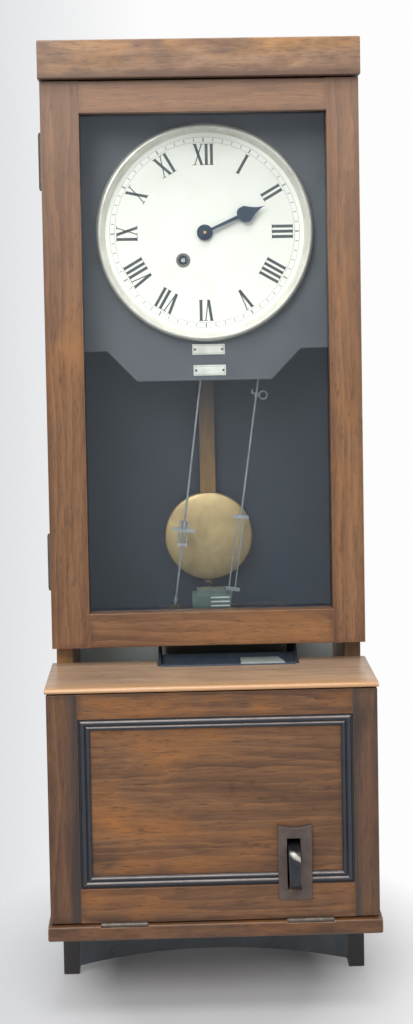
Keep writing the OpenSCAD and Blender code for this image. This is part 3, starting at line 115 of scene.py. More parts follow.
def solids(node):
    """The low and high corner, in mm, of each separate solid of a CAD node."""
    work = welded(node)
    found = [corner_pair(vert.co / MM for vert in group) for group in islands(work)]
    work.free()
    return found


top_board_low, top_board_high = corners("top_board")
flap_rails_low, flap_rails_high = corners("flap_rails")
door_rails_low, door_rails_high = corners("door_rails")
backboard_low, backboard_high = corners("backboard")
deck_low, deck_high = corners("recorder_deck")
escutcheon_low, escutcheon_high = corners("escutcheon")
cornice_foot = corners("cornice_fascias")[0].z
mask_foot = corners("mask_board")[0].z
base_under = corners("base_board")[0].z
dial_front = corners("dial_plate")[0].y
nameplate_front = corners("nameplates")[0].y
dial_centre = Vector(joints["minute_turn"]["pos_m"]) / MM


# Colours

def srgb(colour):
    """Linear colour of an sRGB colour given in 0 to 255."""
    def channel(value):
        value /= 255
        return value / 12.92 if value <= 0.04045 else ((value + 0.055) / 1.055) ** 2.4
    return tuple(channel(value) for value in colour) + (1.0,)


def times(colour, factor):
    """A lighter or darker shade of a linear colour."""
    return [min(1.0, channel * factor) for channel in colour[:3]] + [1.0]


# Node trees

def preset(node, **sockets):
    """Writes plain values to the sockets of a node and returns it; an underscore stands for a space."""
    for name, value in sockets.items():
        node.inputs[name.replace("_", " ")].default_value = value
    return node


class NodeTree:
    """A node tree under construction, with short calls for the nodes that the finishes share."""

    def __init__(self, tree):
        self.tree = tree
        self.tree.nodes.clear()

    def node(self, kind, **values):
        """A new node with the given properties."""
        made = self.tree.nodes.new(kind)
        for key, value in values.items():
            setattr(made, key, value)
        return made

    def link(self, source, target):
        self.tree.links.new(source, target)

    def feed(self, target, value):
        """Links a socket into target, or writes a plain value there."""
        if isinstance(value, bpy.types.NodeSocket):
            self.link(value, target)
        else:
            target.default_value = value

    def ramp(self, factor, low, high, start=0.0, end=1.0):
        """Maps the range low to high on to start to end, clamped."""
        made = self.node("ShaderNodeMapRange")
        preset(made, From_Min=low, From_Max=high, To_Min=start, To_Max=end)
        self.link(factor, made.inputs["Value"])
        return made.outputs["Result"]

    def math(self, operation, first, second=0.0, clamp=False):
        """A sum, product or the like of two sockets or plain values."""
        made = self.node("ShaderNodeMath", operation=operation, use_clamp=clamp)
        self.feed(made.inputs[0], first)
        self.feed(made.inputs[1], second)
        return made.outputs["Value"]

    def vector_math(self, operation, first, second=None):
        """A vector operation; its outputs are Vector and Value."""
        made = self.node("ShaderNodeVectorMath", operation=operation)
        self.link(first, made.inputs[0])
        if second is not None:
            self.link(second, made.inputs[1])
        return made.outputs

    def split(self, vector):
        """The X, Y and Z of a vector."""
        made = self.node("ShaderNodeSeparateXYZ")
        self.link(vector, made.inputs["Vector"])
        return made.outputs

    def mix(self, factor, first, second):
        """A colour that goes from first to second as factor goes from 0 to 1."""
        made = self.node("ShaderNodeMix", data_type="RGBA")
        self.feed(made.inputs["Factor"], factor)
        self.feed(made.inputs[6], first)
        self.feed(made.inputs[7], second)
        return made.outputs[2]

    def mix_shaders(self, share, first, second, output):
        """Sends a blend of two shaders to an output node."""
        both = self.node("ShaderNodeMixShader")
        self.link(share, both.inputs["Fac"])
        self.link(first, both.inputs[1])
        self.link(second, both.inputs[2])
        self.link(both.outputs["Shader"], output.inputs["Surface"])


class Finish(NodeTree):
    """The node tree of a new material with one principled shader."""

    def __init__(self, name):
        self.material = bpy.data.materials.new(name)
        self.material.use_nodes = True
        super().__init__(self.material.node_tree)
        self.output = self.node("ShaderNodeOutputMaterial")
        self.base = self.node("ShaderNodeBsdfPrincipled")
        self.link(self.base.outputs["BSDF"], self.output.inputs["Surface"])

    def place(self):
        """The object's own coordinates, in metres."""
        return self.node("ShaderNodeTexCoord").outputs["Object"]

    def stored(self, name):
        """A vector that grain_places stored on the mesh."""
        return self.node("ShaderNodeAttribute", attribute_name=name).outputs["Vector"]

    def stretched(self, vector, scale):
        """A vector scaled along each axis."""
        made = preset(self.node("ShaderNodeMapping"), Scale=scale)
        self.link(vector, made.inputs["Vector"])
        return made.outputs["Vector"]

    def noise(self, vector, scale, detail=3.0, rough=0.55, distortion=0.0):
        """Cloudy noise about 0.5, with scale waves in a metre."""
        made = self.node("ShaderNodeTexNoise")
        preset(made, Scale=scale, Detail=detail, Roughness=rough, Distortion=distortion)
        self.link(vector, made.inputs["Vector"])
        return made.outputs["Fac"]

    def bump(self, height, strength, distance):
        """A normal for a surface whose height changes by up to distance."""
        made = preset(self.node("ShaderNodeBump"), Strength=strength, Distance=distance)
        self.link(height, made.inputs["Height"])
        return made.outputs["Normal"]

    def arrises(self, radius, gain):
        """1 along the arrises, 0 on the flats."""
        rounded = preset(self.node("ShaderNodeBevel", samples=4), Radius=radius)
        flat = self.node("ShaderNodeNewGeometry").outputs["Normal"]
        likeness = self.vector_math("DOT_PRODUCT", rounded.outputs["Normal"], flat)["Value"]
        return self.math("MULTIPLY", self.math("SUBTRACT", 1.0, likeness), gain, clamp=True)

    def from_edges(self):
        """Distance in metres to the nearest edge of a board's face, from what grain_places stored."""
        across = self.vector_math("ABSOLUTE", self.stored("span"))["Vector"]
        margin = self.split(self.vector_math("SUBTRACT", self.stored("half"), across)["Vector"])
        return self.math("MINIMUM", margin["X"], margin["Y"])

    def band(self, axis, places):
        """0 to 1 along an axis of the object between two places in mm, and 1 to 0 between a further two."""
        along = self.split(self.place())[axis]
        there = self.ramp(along, places[0] * MM, places[1] * MM)
        if len(places) == 4:
            there = self.math("MULTIPLY", there, self.ramp(along, places[2] * MM, places[3] * MM, 1.0, 0.0))
        return there

    def see_through(self, share, tint=(1.0, 1.0, 1.0, 1.0)):
        """Lets a share of the light straight through, past the principled shader."""
        clear = preset(self.node("ShaderNodeBsdfTransparent"), Color=tint)
        self.mix_shaders(share, self.base.outputs["BSDF"], clear.outputs["BSDF"], self.output)
        return self.material

    def principled(self, colour, roughness, normal=None, **sockets):
        """Feeds the principled shader, with further sockets at plain values, and returns the material."""
        self.feed(self.base.inputs["Base Color"], colour)
        self.feed(self.base.inputs["Roughness"], roughness)
        if normal is not None:
            self.link(normal, self.base.inputs["Normal"])
        preset(self.base, **sockets)
        return self.material


# Kinds of finish

# Noise layers of oak: stretch along and across the grain, detail, roughness and distortion
OAK_LAYERS = {
    "figure": (1.6, 22.0, 4.0, 0.6, 0.8),
    "pores": (60.0, 900.0, 2.0, 0.5, 0.0),
    "fine": (24.0, 420.0, 4.0, 0.65, 0.0),
    "flecks": (46.0, 300.0, 3.0, 0.6, 0.3),
    "patch": (5.0, 11.0, 3.0, 0.6, 0.6),
    "spots": (26.0, 60.0, 3.0, 0.6, 0.0),
}

# Distances from a board's edge at which grime and painted shade begin and are full, and widths of the rubbed
# arrises
GRIME_AND_SHADE_REACH = (7.5 * MM, 0.5 * MM)
WOOD_ARRIS = 2.2 * MM
METAL_ARRIS = 0.8 * MM
PAINT_ARRIS = 1.5 * MM
IRON_ARRIS = 1.2 * MM


def growth_bands(tree, place):
    """The growth rings of a board as bands along the grain."""
    bands = tree.node("ShaderNodeTexWave", wave_type="BANDS", bands_direction="Y", wave_profile="SAW")
    preset(bands, Scale=26.0, Distortion=10.0, Detail=3.0, Detail_Scale=1.6)
    tree.link(tree.stretched(place, (0.1, 1.0, 1.0)), bands.inputs["Vector"])
    return bands.outputs["Fac"]


def wood(name, dark, mid, light, glow=None, rubbed=None, sheen=0.2, stain=0.5, wear=0.35, grime_and_shade=0.6,
         rough=0.44, relief=0.35, shades=()):
    """Aged varnished oak: broad figure, growth bands, pores, flecks, patches of old varnish, grime and
    painted shade towards the edges of each board and rubbed arrises. Each entry of shades tints one part of
    the object with painted
    light, painted shade or a darker band: (axis, the places in mm where it starts and is full and, for a
    band, where it ends again, how much, the colour)."""
    tree = Finish(name)
    place = tree.stored("grain")
    layer = {kind: tree.noise(tree.stretched(place, (along, across, across)), 1.0, *how)
             for kind, (along, across, *how) in OAK_LAYERS.items()}
    dark, mid, light = srgb(dark), srgb(mid), srgb(light)
    deep = times(dark, 0.35)
    patch = layer["patch"]
    colour = dark
    for source, low, high, most, tone in (
            (layer["figure"], 0.35, 0.68, 1.0, mid),
            (growth_bands(tree, place), 0.1, 0.95, 0.5, light),
            (layer["fine"], 0.42, 0.66, 0.5, dark),
            (patch, 0.5, 0.7, 0.75, srgb(glow) if glow else light),
            (patch, 0.45, 0.27, stain, times(dark, 0.8)),
            (layer["flecks"], 0.56, 0.70, 0.45, times(dark, 0.6)),
            (layer["spots"], 0.64, 0.76, 0.7 * stain, deep),
            (layer["pores"], 0.60, 0.72, 0.55, deep)):
        colour = tree.mix(tree.ramp(source, low, high, 0.0, most), colour, tone)
    # Grime and painted shade: darker towards the edges of each board's faces, where boards meet and in
    # corners
    edge_grime_and_shade = tree.math("MULTIPLY", tree.ramp(tree.from_edges(), *GRIME_AND_SHADE_REACH),
                     tree.ramp(layer["spots"], 0.36, 0.62, 0.35, 1.0))
    colour = tree.mix(tree.math("MULTIPLY", edge_grime_and_shade, grime_and_shade), colour, times(dark, 0.45))
    for axis, places, amount, tone in shades:
        colour = tree.mix(tree.math("MULTIPLY", tree.band(axis, places), amount), colour, srgb(tone))
    rubbed = srgb(rubbed) if rubbed else times(light, 1.5)
    uneven = tree.ramp(layer["spots"], 0.35, 0.6, 0.2, 1.0)
    arris = tree.math("MULTIPLY", tree.arrises(WOOD_ARRIS, 5.0), uneven)
    colour = tree.mix(tree.math("MULTIPLY", arris, wear), colour, rubbed)
    pits = tree.ramp(layer["pores"], 0.58, 0.7)
    height = tree.math("SUBTRACT", tree.math("MULTIPLY", layer["fine"], 0.5), pits)
    gloss = tree.ramp(patch, 0.3, 0.7, rough + 0.08, rough - 0.06)
    return tree.principled(colour, gloss, tree.bump(height, relief, 0.25 * MM),
                           Coat_Weight=sheen, Coat_Roughness=0.22, Specular_IOR_Level=0.4)


def metal(name, colour, tarnish, rough=0.35, share=0.5, rub=0.3, shine=1.0, size=60.0):
    """Handled metal: its colour, tarnish in patches, faint scratches and brighter arrises."""
    tree = Finish(name)
    place = tree.place()
    colour = srgb(colour)
    cloud = tree.noise(place, size, detail=5.0, rough=0.62, distortion=0.4)
    scratch = tree.noise(tree.stretched(place, (900.0, 700.0, 140.0)), 1.0, detail=2.0, rough=0.6)
    shown = tree.mix(tree.ramp(cloud, 0.42, 0.68, 0.0, share), colour, srgb(tarnish))
    shown = tree.mix(tree.ramp(scratch, 0.55, 0.75, 0.0, 0.18), shown, times(colour, 1.5))
    shown = tree.mix(tree.math("MULTIPLY", tree.arrises(METAL_ARRIS, 4.0), rub), shown, times(colour, 2.0))
    roughness = tree.math("ADD", tree.ramp(cloud, 0.3, 0.75, rough, rough + 0.2),
                          tree.ramp(scratch, 0.4, 0.8, 0.0, 0.08))
    return tree.principled(shown, roughness, tree.bump(scratch, 0.12, 0.1 * MM), Metallic=shine)


def painted(name, colour, worn, rough=0.5, share=0.35, chips=0.0, relief=0.1):
    """Old paint or enamel: mottled, faintly uneven, and rubbed at the arrises."""
    tree = Finish(name)
    place = tree.place()
    worn = srgb(worn)
    cloud = tree.noise(place, 35.0, detail=5.0, rough=0.6, distortion=0.5)
    speck = tree.noise(place, 700.0, detail=3.0, rough=0.6)
    shown = tree.mix(tree.ramp(cloud, 0.4, 0.75, 0.0, share), srgb(colour), worn)
    shown = tree.mix(tree.ramp(speck, 0.68, 0.8, 0.0, 0.2), shown, worn)
    if chips:
        shown = tree.mix(tree.math("MULTIPLY", tree.arrises(PAINT_ARRIS, 4.0), chips), shown, worn)
    gloss = tree.ramp(cloud, 0.3, 0.7, rough - 0.06, rough + 0.08)
    return tree.principled(shown, gloss, tree.bump(cloud, relief, 0.3 * MM))


def highlit_bead_paint(name, dark, light):
    """Ebonised moulding: nearly black where it faces the room, with a patchy painted highlight on the slopes
    that face up.
    """
    tree = Finish(name)
    dark = srgb(dark)
    cloud = tree.noise(tree.place(), 45.0, detail=5.0, rough=0.62, distortion=0.4)
    upward = tree.split(tree.node("ShaderNodeTexCoord").outputs["Normal"])["Z"]
    # Painted highlight: light on the slopes that face up, made patchy by the cloud
    upward_highlight = tree.math("MULTIPLY", tree.ramp(upward, 0.12, 0.5), tree.ramp(upward, 0.95, 0.8))
    rubbed = tree.math("MULTIPLY", upward_highlight, tree.ramp(cloud, 0.32, 0.6, 0.5, 1.0))
    shown = tree.mix(tree.ramp(cloud, 0.45, 0.7, 0.0, 0.6), dark, times(dark, 0.6))
    shown = tree.mix(rubbed, shown, srgb(light))
    gloss = tree.ramp(cloud, 0.3, 0.7, 0.34, 0.46)
    return tree.principled(shown, gloss, tree.bump(cloud, 0.15, 0.2 * MM), Coat_Weight=0.12)


def window_glass(name, tint):
    """Clear pane: the light of the room passes straight through it, and it mirrors the room."""
    tree = Finish(name)
    tree.principled(tint, 0.02, Transmission_Weight=1.0, IOR=1.4, Specular_Tint=(0.78, 0.9, 1.0, 1.0))
    ray = tree.node("ShaderNodeLightPath").outputs
    return tree.see_through(tree.math("MAXIMUM", ray["Is Shadow Ray"], ray["Is Diffuse Ray"]), tint)


def worn_highlit_iron(name, dark, bright, centre, reach, tilt):
    """Dark iron rubbed bright where the hand presses, the bright oval also a painted highlight: an oval
    round centre with half sizes reach, both in mm, turned by tilt about Y."""
    tree = Finish(name)
    dark = srgb(dark)
    cloud = tree.noise(tree.place(), 90.0, detail=5.0, rough=0.65)
    oval = tree.node("ShaderNodeMapping", vector_type="TEXTURE")
    preset(oval, Location=Vector(centre) * MM, Rotation=(0, tilt, 0), Scale=Vector(reach) * MM)
    tree.link(tree.place(), oval.inputs["Vector"])
    away = tree.vector_math("LENGTH", oval.outputs["Vector"])["Value"]
    ragged = tree.math("ADD", away, tree.ramp(cloud, 0.3, 0.7, -0.3, 0.3))
    arris = tree.math("MULTIPLY", tree.arrises(IRON_ARRIS, 4.0), 0.1)
    # The bright, glossier oval: wear and a painted highlight
    rubbed = tree.math("MAXIMUM", tree.ramp(ragged, 0.3, 1.2, 1.0, 0.0), arris)
    shown = tree.mix(rubbed, tree.mix(tree.ramp(cloud, 0.4, 0.7), dark, times(dark, 1.7)), srgb(bright))
    gloss = tree.ramp(rubbed, 0.0, 1.0, 0.6, 0.3)
    return tree.principled(shown, gloss, tree.bump(cloud, 0.15, 0.15 * MM), Metallic=0.8)


# Finish of each material slot

# Near black, for painted shade on the feet and the right of the flap stiles, and for darker bands beside the
# stiles' joints
SOOT_AND_SHADE = (44, 46, 50)
# Dark bluish tones of the wood inside the case: painted shade with a painted bluish reflection of the room
SHADED_INSIDE = (26, 33, 44), (36, 44, 56), (44, 52, 64)
# Heights in mm over which a painted reflection of the room comes over the wood of the door, full above the
# higher
DOOR_REFLECTION = (120, 430)

finish_of_slot = {
    # Case sides: below the base board the feet are painted near black, a painted shade under the base board
    "case_oak": wood(
        "case_oak", (104, 72, 46), (150, 110, 74), (178, 132, 90), glow=(200, 146, 80), stain=0.8,
        shades=(("Z", (base_under + 2, base_under - 2), 0.94, SOOT_AND_SHADE),)),
    # The door's wood pales towards the top: a painted reflection of the room
    "door_oak": wood(
        "door_oak", (106, 72, 48), (142, 102, 70), (162, 118, 82), glow=(160, 110, 66),
        shades=(("Z", DOOR_REFLECTION, 0.24, (166, 146, 134)),)),
    "box_oak": wood("box_oak", (86, 59, 42), (133, 94, 63), (156, 109, 70), glow=(170, 109, 56), stain=0.9),
    "inner_oak": wood("inner_oak", *SHADED_INSIDE, sheen=0.0, wear=0.1, relief=0.08),
    # The lath darkens towards its top, under the mask board: the mask's painted shadow
    "lath_wood": wood(
        "lath_wood", (104, 76, 38), (136, 102, 52), (158, 122, 64), sheen=0.0, wear=0.1, grime_and_shade=0.2,
        relief=0.15, shades=(("Z", (mask_foot - 134, mask_foot - 14), 0.75, (60, 56, 54)),)),
    "ebonised_wood": painted("ebonised", (64, 70, 74), (108, 112, 118), rough=0.3, share=0.3, chips=0.5),
    "mask_paint": painted("mask_paint", (77, 82, 87), (67, 71, 76), rough=0.6, share=0.6, relief=0.02),
    "dial_enamel": painted(
        "dial_enamel", (246, 248, 238), (237, 239, 222), rough=0.38, share=0.5, relief=0.03),
    "bezel_metal": metal("bezel_metal", (228, 228, 216), (196, 195, 180), rough=0.34, share=0.6, shine=0.35),
    "nameplate_metal": metal("nameplate_metal", (214, 217, 208), (170, 172, 164), rough=0.36, shine=0.5),
    "blued_steel": metal("blued_steel", (58, 68, 82), (40, 46, 54), rough=0.3, rub=0.2),
    "clock_brass": metal("clock_brass", (190, 160, 96), (134, 108, 62), rough=0.34, rub=0.4),
    "bob_brass": metal(
        "bob_brass", (170, 152, 110), (129, 114, 83), rough=0.46, share=0.7, size=30.0, shine=0.8),
    "bright_steel": metal("bright_steel", (150, 158, 162), (98, 104, 106), rough=0.36, shine=0.8),
    "deck_metal": metal("deck_metal", (84, 102, 98), (56, 68, 68), rough=0.4, shine=0.6),
    "bronze_plate": metal("bronze_plate", (114, 100, 94), (84, 73, 70), rough=0.42, share=0.6, shine=0.7),
    "dark_iron": metal("dark_iron", (72, 74, 80), (44, 44, 48), rough=0.45, shine=0.85),
    "door_glass": window_glass("pane", (0.985, 0.992, 0.995, 1.0)),
}


# Finishes of single nodes, where they differ from their slot's

# The cornice oak darkens towards the lower edge of the fascias: painted shade
cornice_oak = wood(
    "cornice_oak", (132, 100, 80), (172, 136, 108), (190, 152, 120), glow=(214, 156, 86), stain=0.7,
    shades=(("Z", (cornice_foot + 11, cornice_foot + 1), 0.75, (84, 64, 56)),))
# A lighter, greyer oak for the top board: painted light and a painted reflection on its top face, lighter
# still towards the front from wear and painted light, and painted shade that darkens it again below the top
# face
lit_top_oak = wood(
    "lit_top_oak", (168, 136, 110), (206, 174, 146), (218, 186, 154), glow=(226, 188, 150), sheen=0.6, stain=0.5,
    wear=0.0, grime_and_shade=0.2, rough=0.36,
    shades=(("Y", (top_board_low.y + 25, top_board_low.y + 3), 0.7, (214, 160, 104)),
            ("Z", (top_board_high.z - 1.5, top_board_high.z - 4.5), 0.55, (140, 98, 66))))
base_oak = wood(
    "base_oak", (92, 63, 48), (132, 93, 64), (152, 109, 72), glow=(162, 107, 60), rubbed=(204, 172, 140),
    stain=0.8, wear=0.9)
left_joint, right_joint = flap_rails_low.x, flap_rails_high.x
# Flap stiles: darker towards the right, a painted shade, and a darker band along each stile beside its joint
# with the rails
stile_oak = wood(
    "stile_oak", (82, 57, 43), (124, 88, 62), (142, 100, 68), glow=(136, 90, 58), stain=0.9,
    shades=(("X", (right_joint - 19, right_joint + 11), 0.3, SOOT_AND_SHADE),
            ("X", (left_joint - 15.5, left_joint - 5.5, left_joint + 2.5, left_joint + 3.5), 0.6, SOOT_AND_SHADE),
            ("X", (right_joint - 3, right_joint - 2, right_joint + 2, right_joint + 11), 0.5, SOOT_AND_SHADE)))
hinge_metal = metal("hinge_metal", (124, 114, 106), (74, 68, 62), rough=0.4, shine=0.8)
dull_brass = metal("dull_brass", (84, 78, 62), (56, 52, 44), rough=0.5)
ink = painted("dial_ink", (58, 64, 64), (92, 98, 96), rough=0.45)

# The bright oval on the lever, worn and a painted highlight, in mm: its place from the middle of the
# escutcheon's front, and half sizes
THUMB_SHINE_FROM_PLATE = Vector((1, -9, 10))
THUMB_SHINE_HALF = (8, 12, 3)
THUMB_SHINE_TILT = 0.55
plate_front = Vector(((escutcheon_low.x + escutcheon_high.x) / 2, escutcheon_low.y,
                      (escutcheon_low.z + escutcheon_high.z) / 2))

finish_of_node = {
    "top_board": lit_top_oak,
    "cornice_fascias": cornice_oak,
    "cornice_lid": cornice_oak,
    "base_board": base_oak,
    "flap_stiles": stile_oak,
    # The apron under the base board takes the near-black ebonised finish as painted shade under the base
    # board
    "foot_apron": finish_of_slot["ebonised_wood"],
    # The moulding's beads carry a painted highlight on their upper slopes
    "panel_moulding": highlit_bead_paint("highlit_bead_paint", (50, 53, 60), (150, 138, 132)),
    "print_lever": worn_highlit_iron("lever_iron", (48, 49, 53), (222, 216, 208), plate_front + THUMB_SHINE_FROM_PLATE,
                             THUMB_SHINE_HALF, THUMB_SHINE_TILT),
    "escutcheon_screws": finish_of_slot["bronze_plate"],
    "fixed_hinge_leaves": hinge_metal,
    "door_hinge_leaves": hinge_metal,
    "flap_hinge_leaves": hinge_metal,
    "hinge_pins": hinge_metal,
    "rating_nut": dull_brass,
    "rod_guides": dull_brass,
    "recorder_side_plates": metal("plate_metal", (60, 66, 72), (42, 46, 50), rough=0.45, shine=0.6),
    "card_chute": metal("chute_metal", (84, 94, 108), (52, 60, 70), rough=0.36, shine=0.5, rub=0.8),
    "winding_grommet": metal("grommet_metal", (96, 98, 94), (64, 66, 64), rough=0.42, shine=0.4),
    "nameplate_screws": ink,
}


# Pieces made from the CAD nodes

# Step in metres by which the grain of one board is shifted from the next
BOARD_SHIFT = Vector((0.37, 0.61, 0.23))
SHIFT_STEPS = 7


def grain_places(mesh):
    """Stores three vectors at each point of a mesh of boards: "grain" is its place with X along the board's
    longest side, shifted so that no two boards match; "span" its place from the board's centre in the two
    longer directions; "half" the board's half sizes in them."""
    work = bmesh.new()
    work.from_mesh(mesh)
    work.verts.ensure_lookup_table()
    count = len(work.verts)
    grain, span, half = ([Vector()] * count for _ in range(3))
    for number, group in enumerate(islands(work)):
        low, high = corner_pair(vert.co for vert in group)
        size = high - low
        middle = (low + high) / 2
        order = sorted(range(3), key=lambda k: -size[k])
        shift = BOARD_SHIFT * (number + 1 + count % SHIFT_STEPS)
        for vert in group:
            grain[vert.index] = Vector([vert.co[k] for k in order]) + shift
            span[vert.index] = Vector([vert.co[k] - middle[k] for k in order[:2]] + [0])
            half[vert.index] = Vector([size[k] / 2 for k in order[:2]] + [0])
    work.free()
    for name, values in (("grain", grain), ("span", span), ("half", half)):
        attribute = mesh.attributes.new(name, "FLOAT_VECTOR", "POINT")
        attribute.data.foreach_set("vector", [c for v in values for c in v])


# Bend up to which two faces are one, bend from which an edge is rounded, and in how many steps
FLAT_ANGLE = math.radians(0.6)
ARRIS_ANGLE = math.radians(28)
ARRIS_STEPS = 2
# Share of the width where two boards meet, and how near to the meeting plane such an edge lies
MEETING_SHARE = 0.3
MEETING_REACH = 0.05 * MM


def soften(node, width, meeting=()):
    """Replaces a node by the same solids with arrises rounded by width in mm. Edges on a plane in meeting,
    given as (axis, place in mm), are rounded less, because two boards meet there."""
    work = welded(node)
    bmesh.ops.dissolve_limit(work, angle_limit=FLAT_ANGLE, verts=work.verts, edges=work.edges)
    for face in work.faces:
        face.smooth = True
    layer = work.edges.layers.float.new("bevel_weight_edge")
    for edge in work.edges:
        if len(edge.link_faces) != 2 or edge.calc_face_angle(0.0) < ARRIS_ANGLE:
            continue
        on_joint = any(all(abs(vert.co[axis] - place * MM) < MEETING_REACH for vert in edge.verts)
                       for axis, place in meeting)
        edge[layer] = MEETING_SHARE if on_joint else 1.0
    mesh = bpy.data.meshes.new(node + "_mesh")
    work.to_mesh(mesh)
    work.free()
    piece = bpy.data.objects.new(node + "_made", mesh)
    scene.collection.objects.link(piece)
    bevel = piece.modifiers.new("arris", "BEVEL")
    bevel.limit_method = "WEIGHT"
    bevel.width = width * MM
    bevel.segments = ARRIS_STEPS
    bevel.use_clamp_overlap = True
    piece.modifiers.new("normals", "WEIGHTED_NORMAL").keep_sharp = True
    made = bpy.data.meshes.new_from_object(piece.evaluated_get(bpy.context.evaluated_depsgraph_get()))
    made.name = node + "_mesh"
    piece.modifiers.clear()
    piece.data = made
    bpy.data.meshes.remove(mesh)
    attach(piece, body_of_node[node])
    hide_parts(node)
    return piece


def dress(piece, material):
    """Gives a piece one material."""
    piece.data.materials.clear()
    piece.data.materials.append(material)


# Width in mm of the rounded arrises: nodes of boards, and nodes of metal or painted wood
BOARDS = {
    "backboard": 0.8, "case_sides": 1.0, "case_top": 0.6, "foot_apron": 1.0, "cornice_fascias": 1.4,
    "cornice_lid": 0.5, "box_sides": 1.2, "top_board": 0.8, "base_board": 0.7, "door_stiles": 1.3,
    "door_rails": 1.3, "glazing_beads": 0.8, "flap_stiles": 1.3, "flap_rails": 1.3, "flap_panel": 0.4,
    "pendulum_rod": 0.7,
}
OTHER_PIECES = {
    "mask_board": 1.2, "panel_moulding": 0.25, "escutcheon": 0.6, "nameplates": 0.3, "print_lever": 3.6,
    "print_hammer": 0.8, "front_plate": 0.4, "back_plate": 0.4, "recorder_side_plates": 0.4,
    "recorder_deck": 0.5, "card_chute": 0.3, "minute_hand": 0.25, "hour_hand": 0.25, "dial_bezel": 0.8,
    "pendulum_bob": 1.0, "rating_nut": 0.5, "fixed_hinge_leaves": 0.2, "door_hinge_leaves": 0.2,
    "flap_hinge_leaves": 0.2, "hinge_pins": 0.3, "escutcheon_screws": 0.25, "nameplate_screws": 0.2,
    "winding_grommet": 0.3, "winding_arbor": 0.3, "suspension_cock": 0.6, "rod_guides": 0.4,
    "recorder_shafts": 0.5, "link_rod_left": 0.2, "link_rod_right": 0.2, "dial_plate": 0.3,
    "movement_pillars": 0.3,
}
door_meeting = (0, door_rails_low.x), (0, door_rails_high.x)
flap_meeting = (0, flap_rails_low.x), (0, flap_rails_high.x)
meeting_planes = {
    "door_stiles": door_meeting,
    "door_rails": door_meeting,
    "flap_stiles": flap_meeting,
    "flap_rails": flap_meeting,
}
for node, width in (BOARDS | OTHER_PIECES).items():
    piece = soften(node, width, meeting_planes.get(node, ()))
    if node in BOARDS:
        grain_places(piece.data)
    dress(piece, finish_of_node.get(node, finish_of_slot[slot_of_node[node]]))
for node, kept in nodes.items():
    if node not in BOARDS and node not in OTHER_PIECES:
        dress(kept, finish_of_slot[slot_of_node[node]])


# Faces with a finish of their own

FACE_REACH = 0.1


def repaint(node, material, low, high):
    """Gives material to the faces of a made piece that lie within FACE_REACH of the box between two corners,
    all in mm."""
    piece = bpy.data.objects[node + "_made"]
    piece.data.materials.append(material)
    last = len(piece.data.materials) - 1
    limits = [(low[k] - FACE_REACH, high[k] + FACE_REACH) for k in range(3)]
    for face in piece.data.polygons:
        places = [piece.data.vertices[v].co / MM for v in face.vertices]
        if all(first <= place[k] <= final for place in places for k, (first, final) in enumerate(limits)):
            face.material_index = last


# Painted light: under the top board's level the inner face of the backboard is painted pale, so that the gap
# under the door shows light there
lit_inner = wood(
    "lit_inner_oak", *SHADED_INSIDE, sheen=0.0, wear=0.1, relief=0.08,
    shades=(("Z", (top_board_high.z - 2, top_board_high.z - 14), 0.9, (168, 172, 168)),))
repaint("backboard", lit_inner, backboard_low, (backboard_high.x, backboard_low.y, backboard_high.z))

# The light plate beside the card mouth lies between these corners
CARD_GATE = (34.1, -174.9, -188.5), (89.9, -140.1, -186.1)
gate_metal = metal("gate_metal", (156, 164, 160), (118, 128, 126), rough=0.4, shine=0.2)
repaint("card_chute", gate_metal, *CARD_GATE)

# The plate of the recorder's deck is dark under the ribbed block
DECK_THICK = 3
repaint("recorder_deck", finish_of_slot["dark_iron"], deck_low,
        (deck_high.x, deck_high.y, deck_low.z + DECK_THICK))


# Dial markings, all in mm

NUMERALS = ("XII", "I", "II", "III", "IIII", "V", "VI", "VII", "VIII", "IX", "X", "XI")
# Radius at the foot and head of the numerals, and width of each letter with its gap
NUMERAL_LOW = 76.5
NUMERAL_HIGH = 100.5
LETTER_WIDTH = {"I": 5.9, "V": 11.5, "X": 12.5}
LETTER_GAP = 0.6
# Widths of the two kinds of stroke, and how far the thin one of a V stands off the thick one at the foot
THICK = 3.3
THIN = 1.2
THIN_SHIFT = 0.4
# Half length of a serif, and its height as a share of the numeral's
SERIF_HALF = 2.4
SERIF_SHARE = 0.028
# Half width, inner and outer radius of a minute mark
MINUTE_MARK = (0.4, 103.6, 107.0)
FIVE_MINUTE_MARK = (0.75, 103.0, 107.4)
# Inner radii of the two rings that hold the minute marks
RINGS = (102.3, 108.0)
RING_WIDTH = 0.3
RING_STEPS = 120
# The line round a nameplate: its distance from the plate's edge, and its width
BORDER_INSET = 1.3
BORDER_LINE = 0.35
# The light strips on the recorder's block: their ends in X, the foot of the lowest, their height and spacing
RIB_X = (4, 25.5)
RIB_FOOT = -145.5
RIB_HEIGHT = 1.5
RIB_PITCH = 4.8
RIB_COUNT = 5
RIB_FRONT = -112
# How deep each printed layer reaches into the plane that it lies on
SINK = 0.05


def stroke(foot, head, thick):
    """A stroke from its foot to its head, as a quad in (across, share of the numeral's height)."""
    half = thick / 2
    return [(foot - half, 0.0), (foot + half, 0.0), (head + half, 1.0), (head - half, 1.0)]


def strokes(letter, middle, span):
    """The strokes of one letter; a V or an X reaches out to span on each side of its middle."""
    if letter == "I":
        return [stroke(middle, middle, THICK)]
    if letter == "V":
        return [stroke(middle, middle - span, THICK), stroke(middle + THIN_SHIFT, middle + span, THIN)]
    return [stroke(middle + span, middle - span, THICK), stroke(middle - span, middle + span, THIN)]


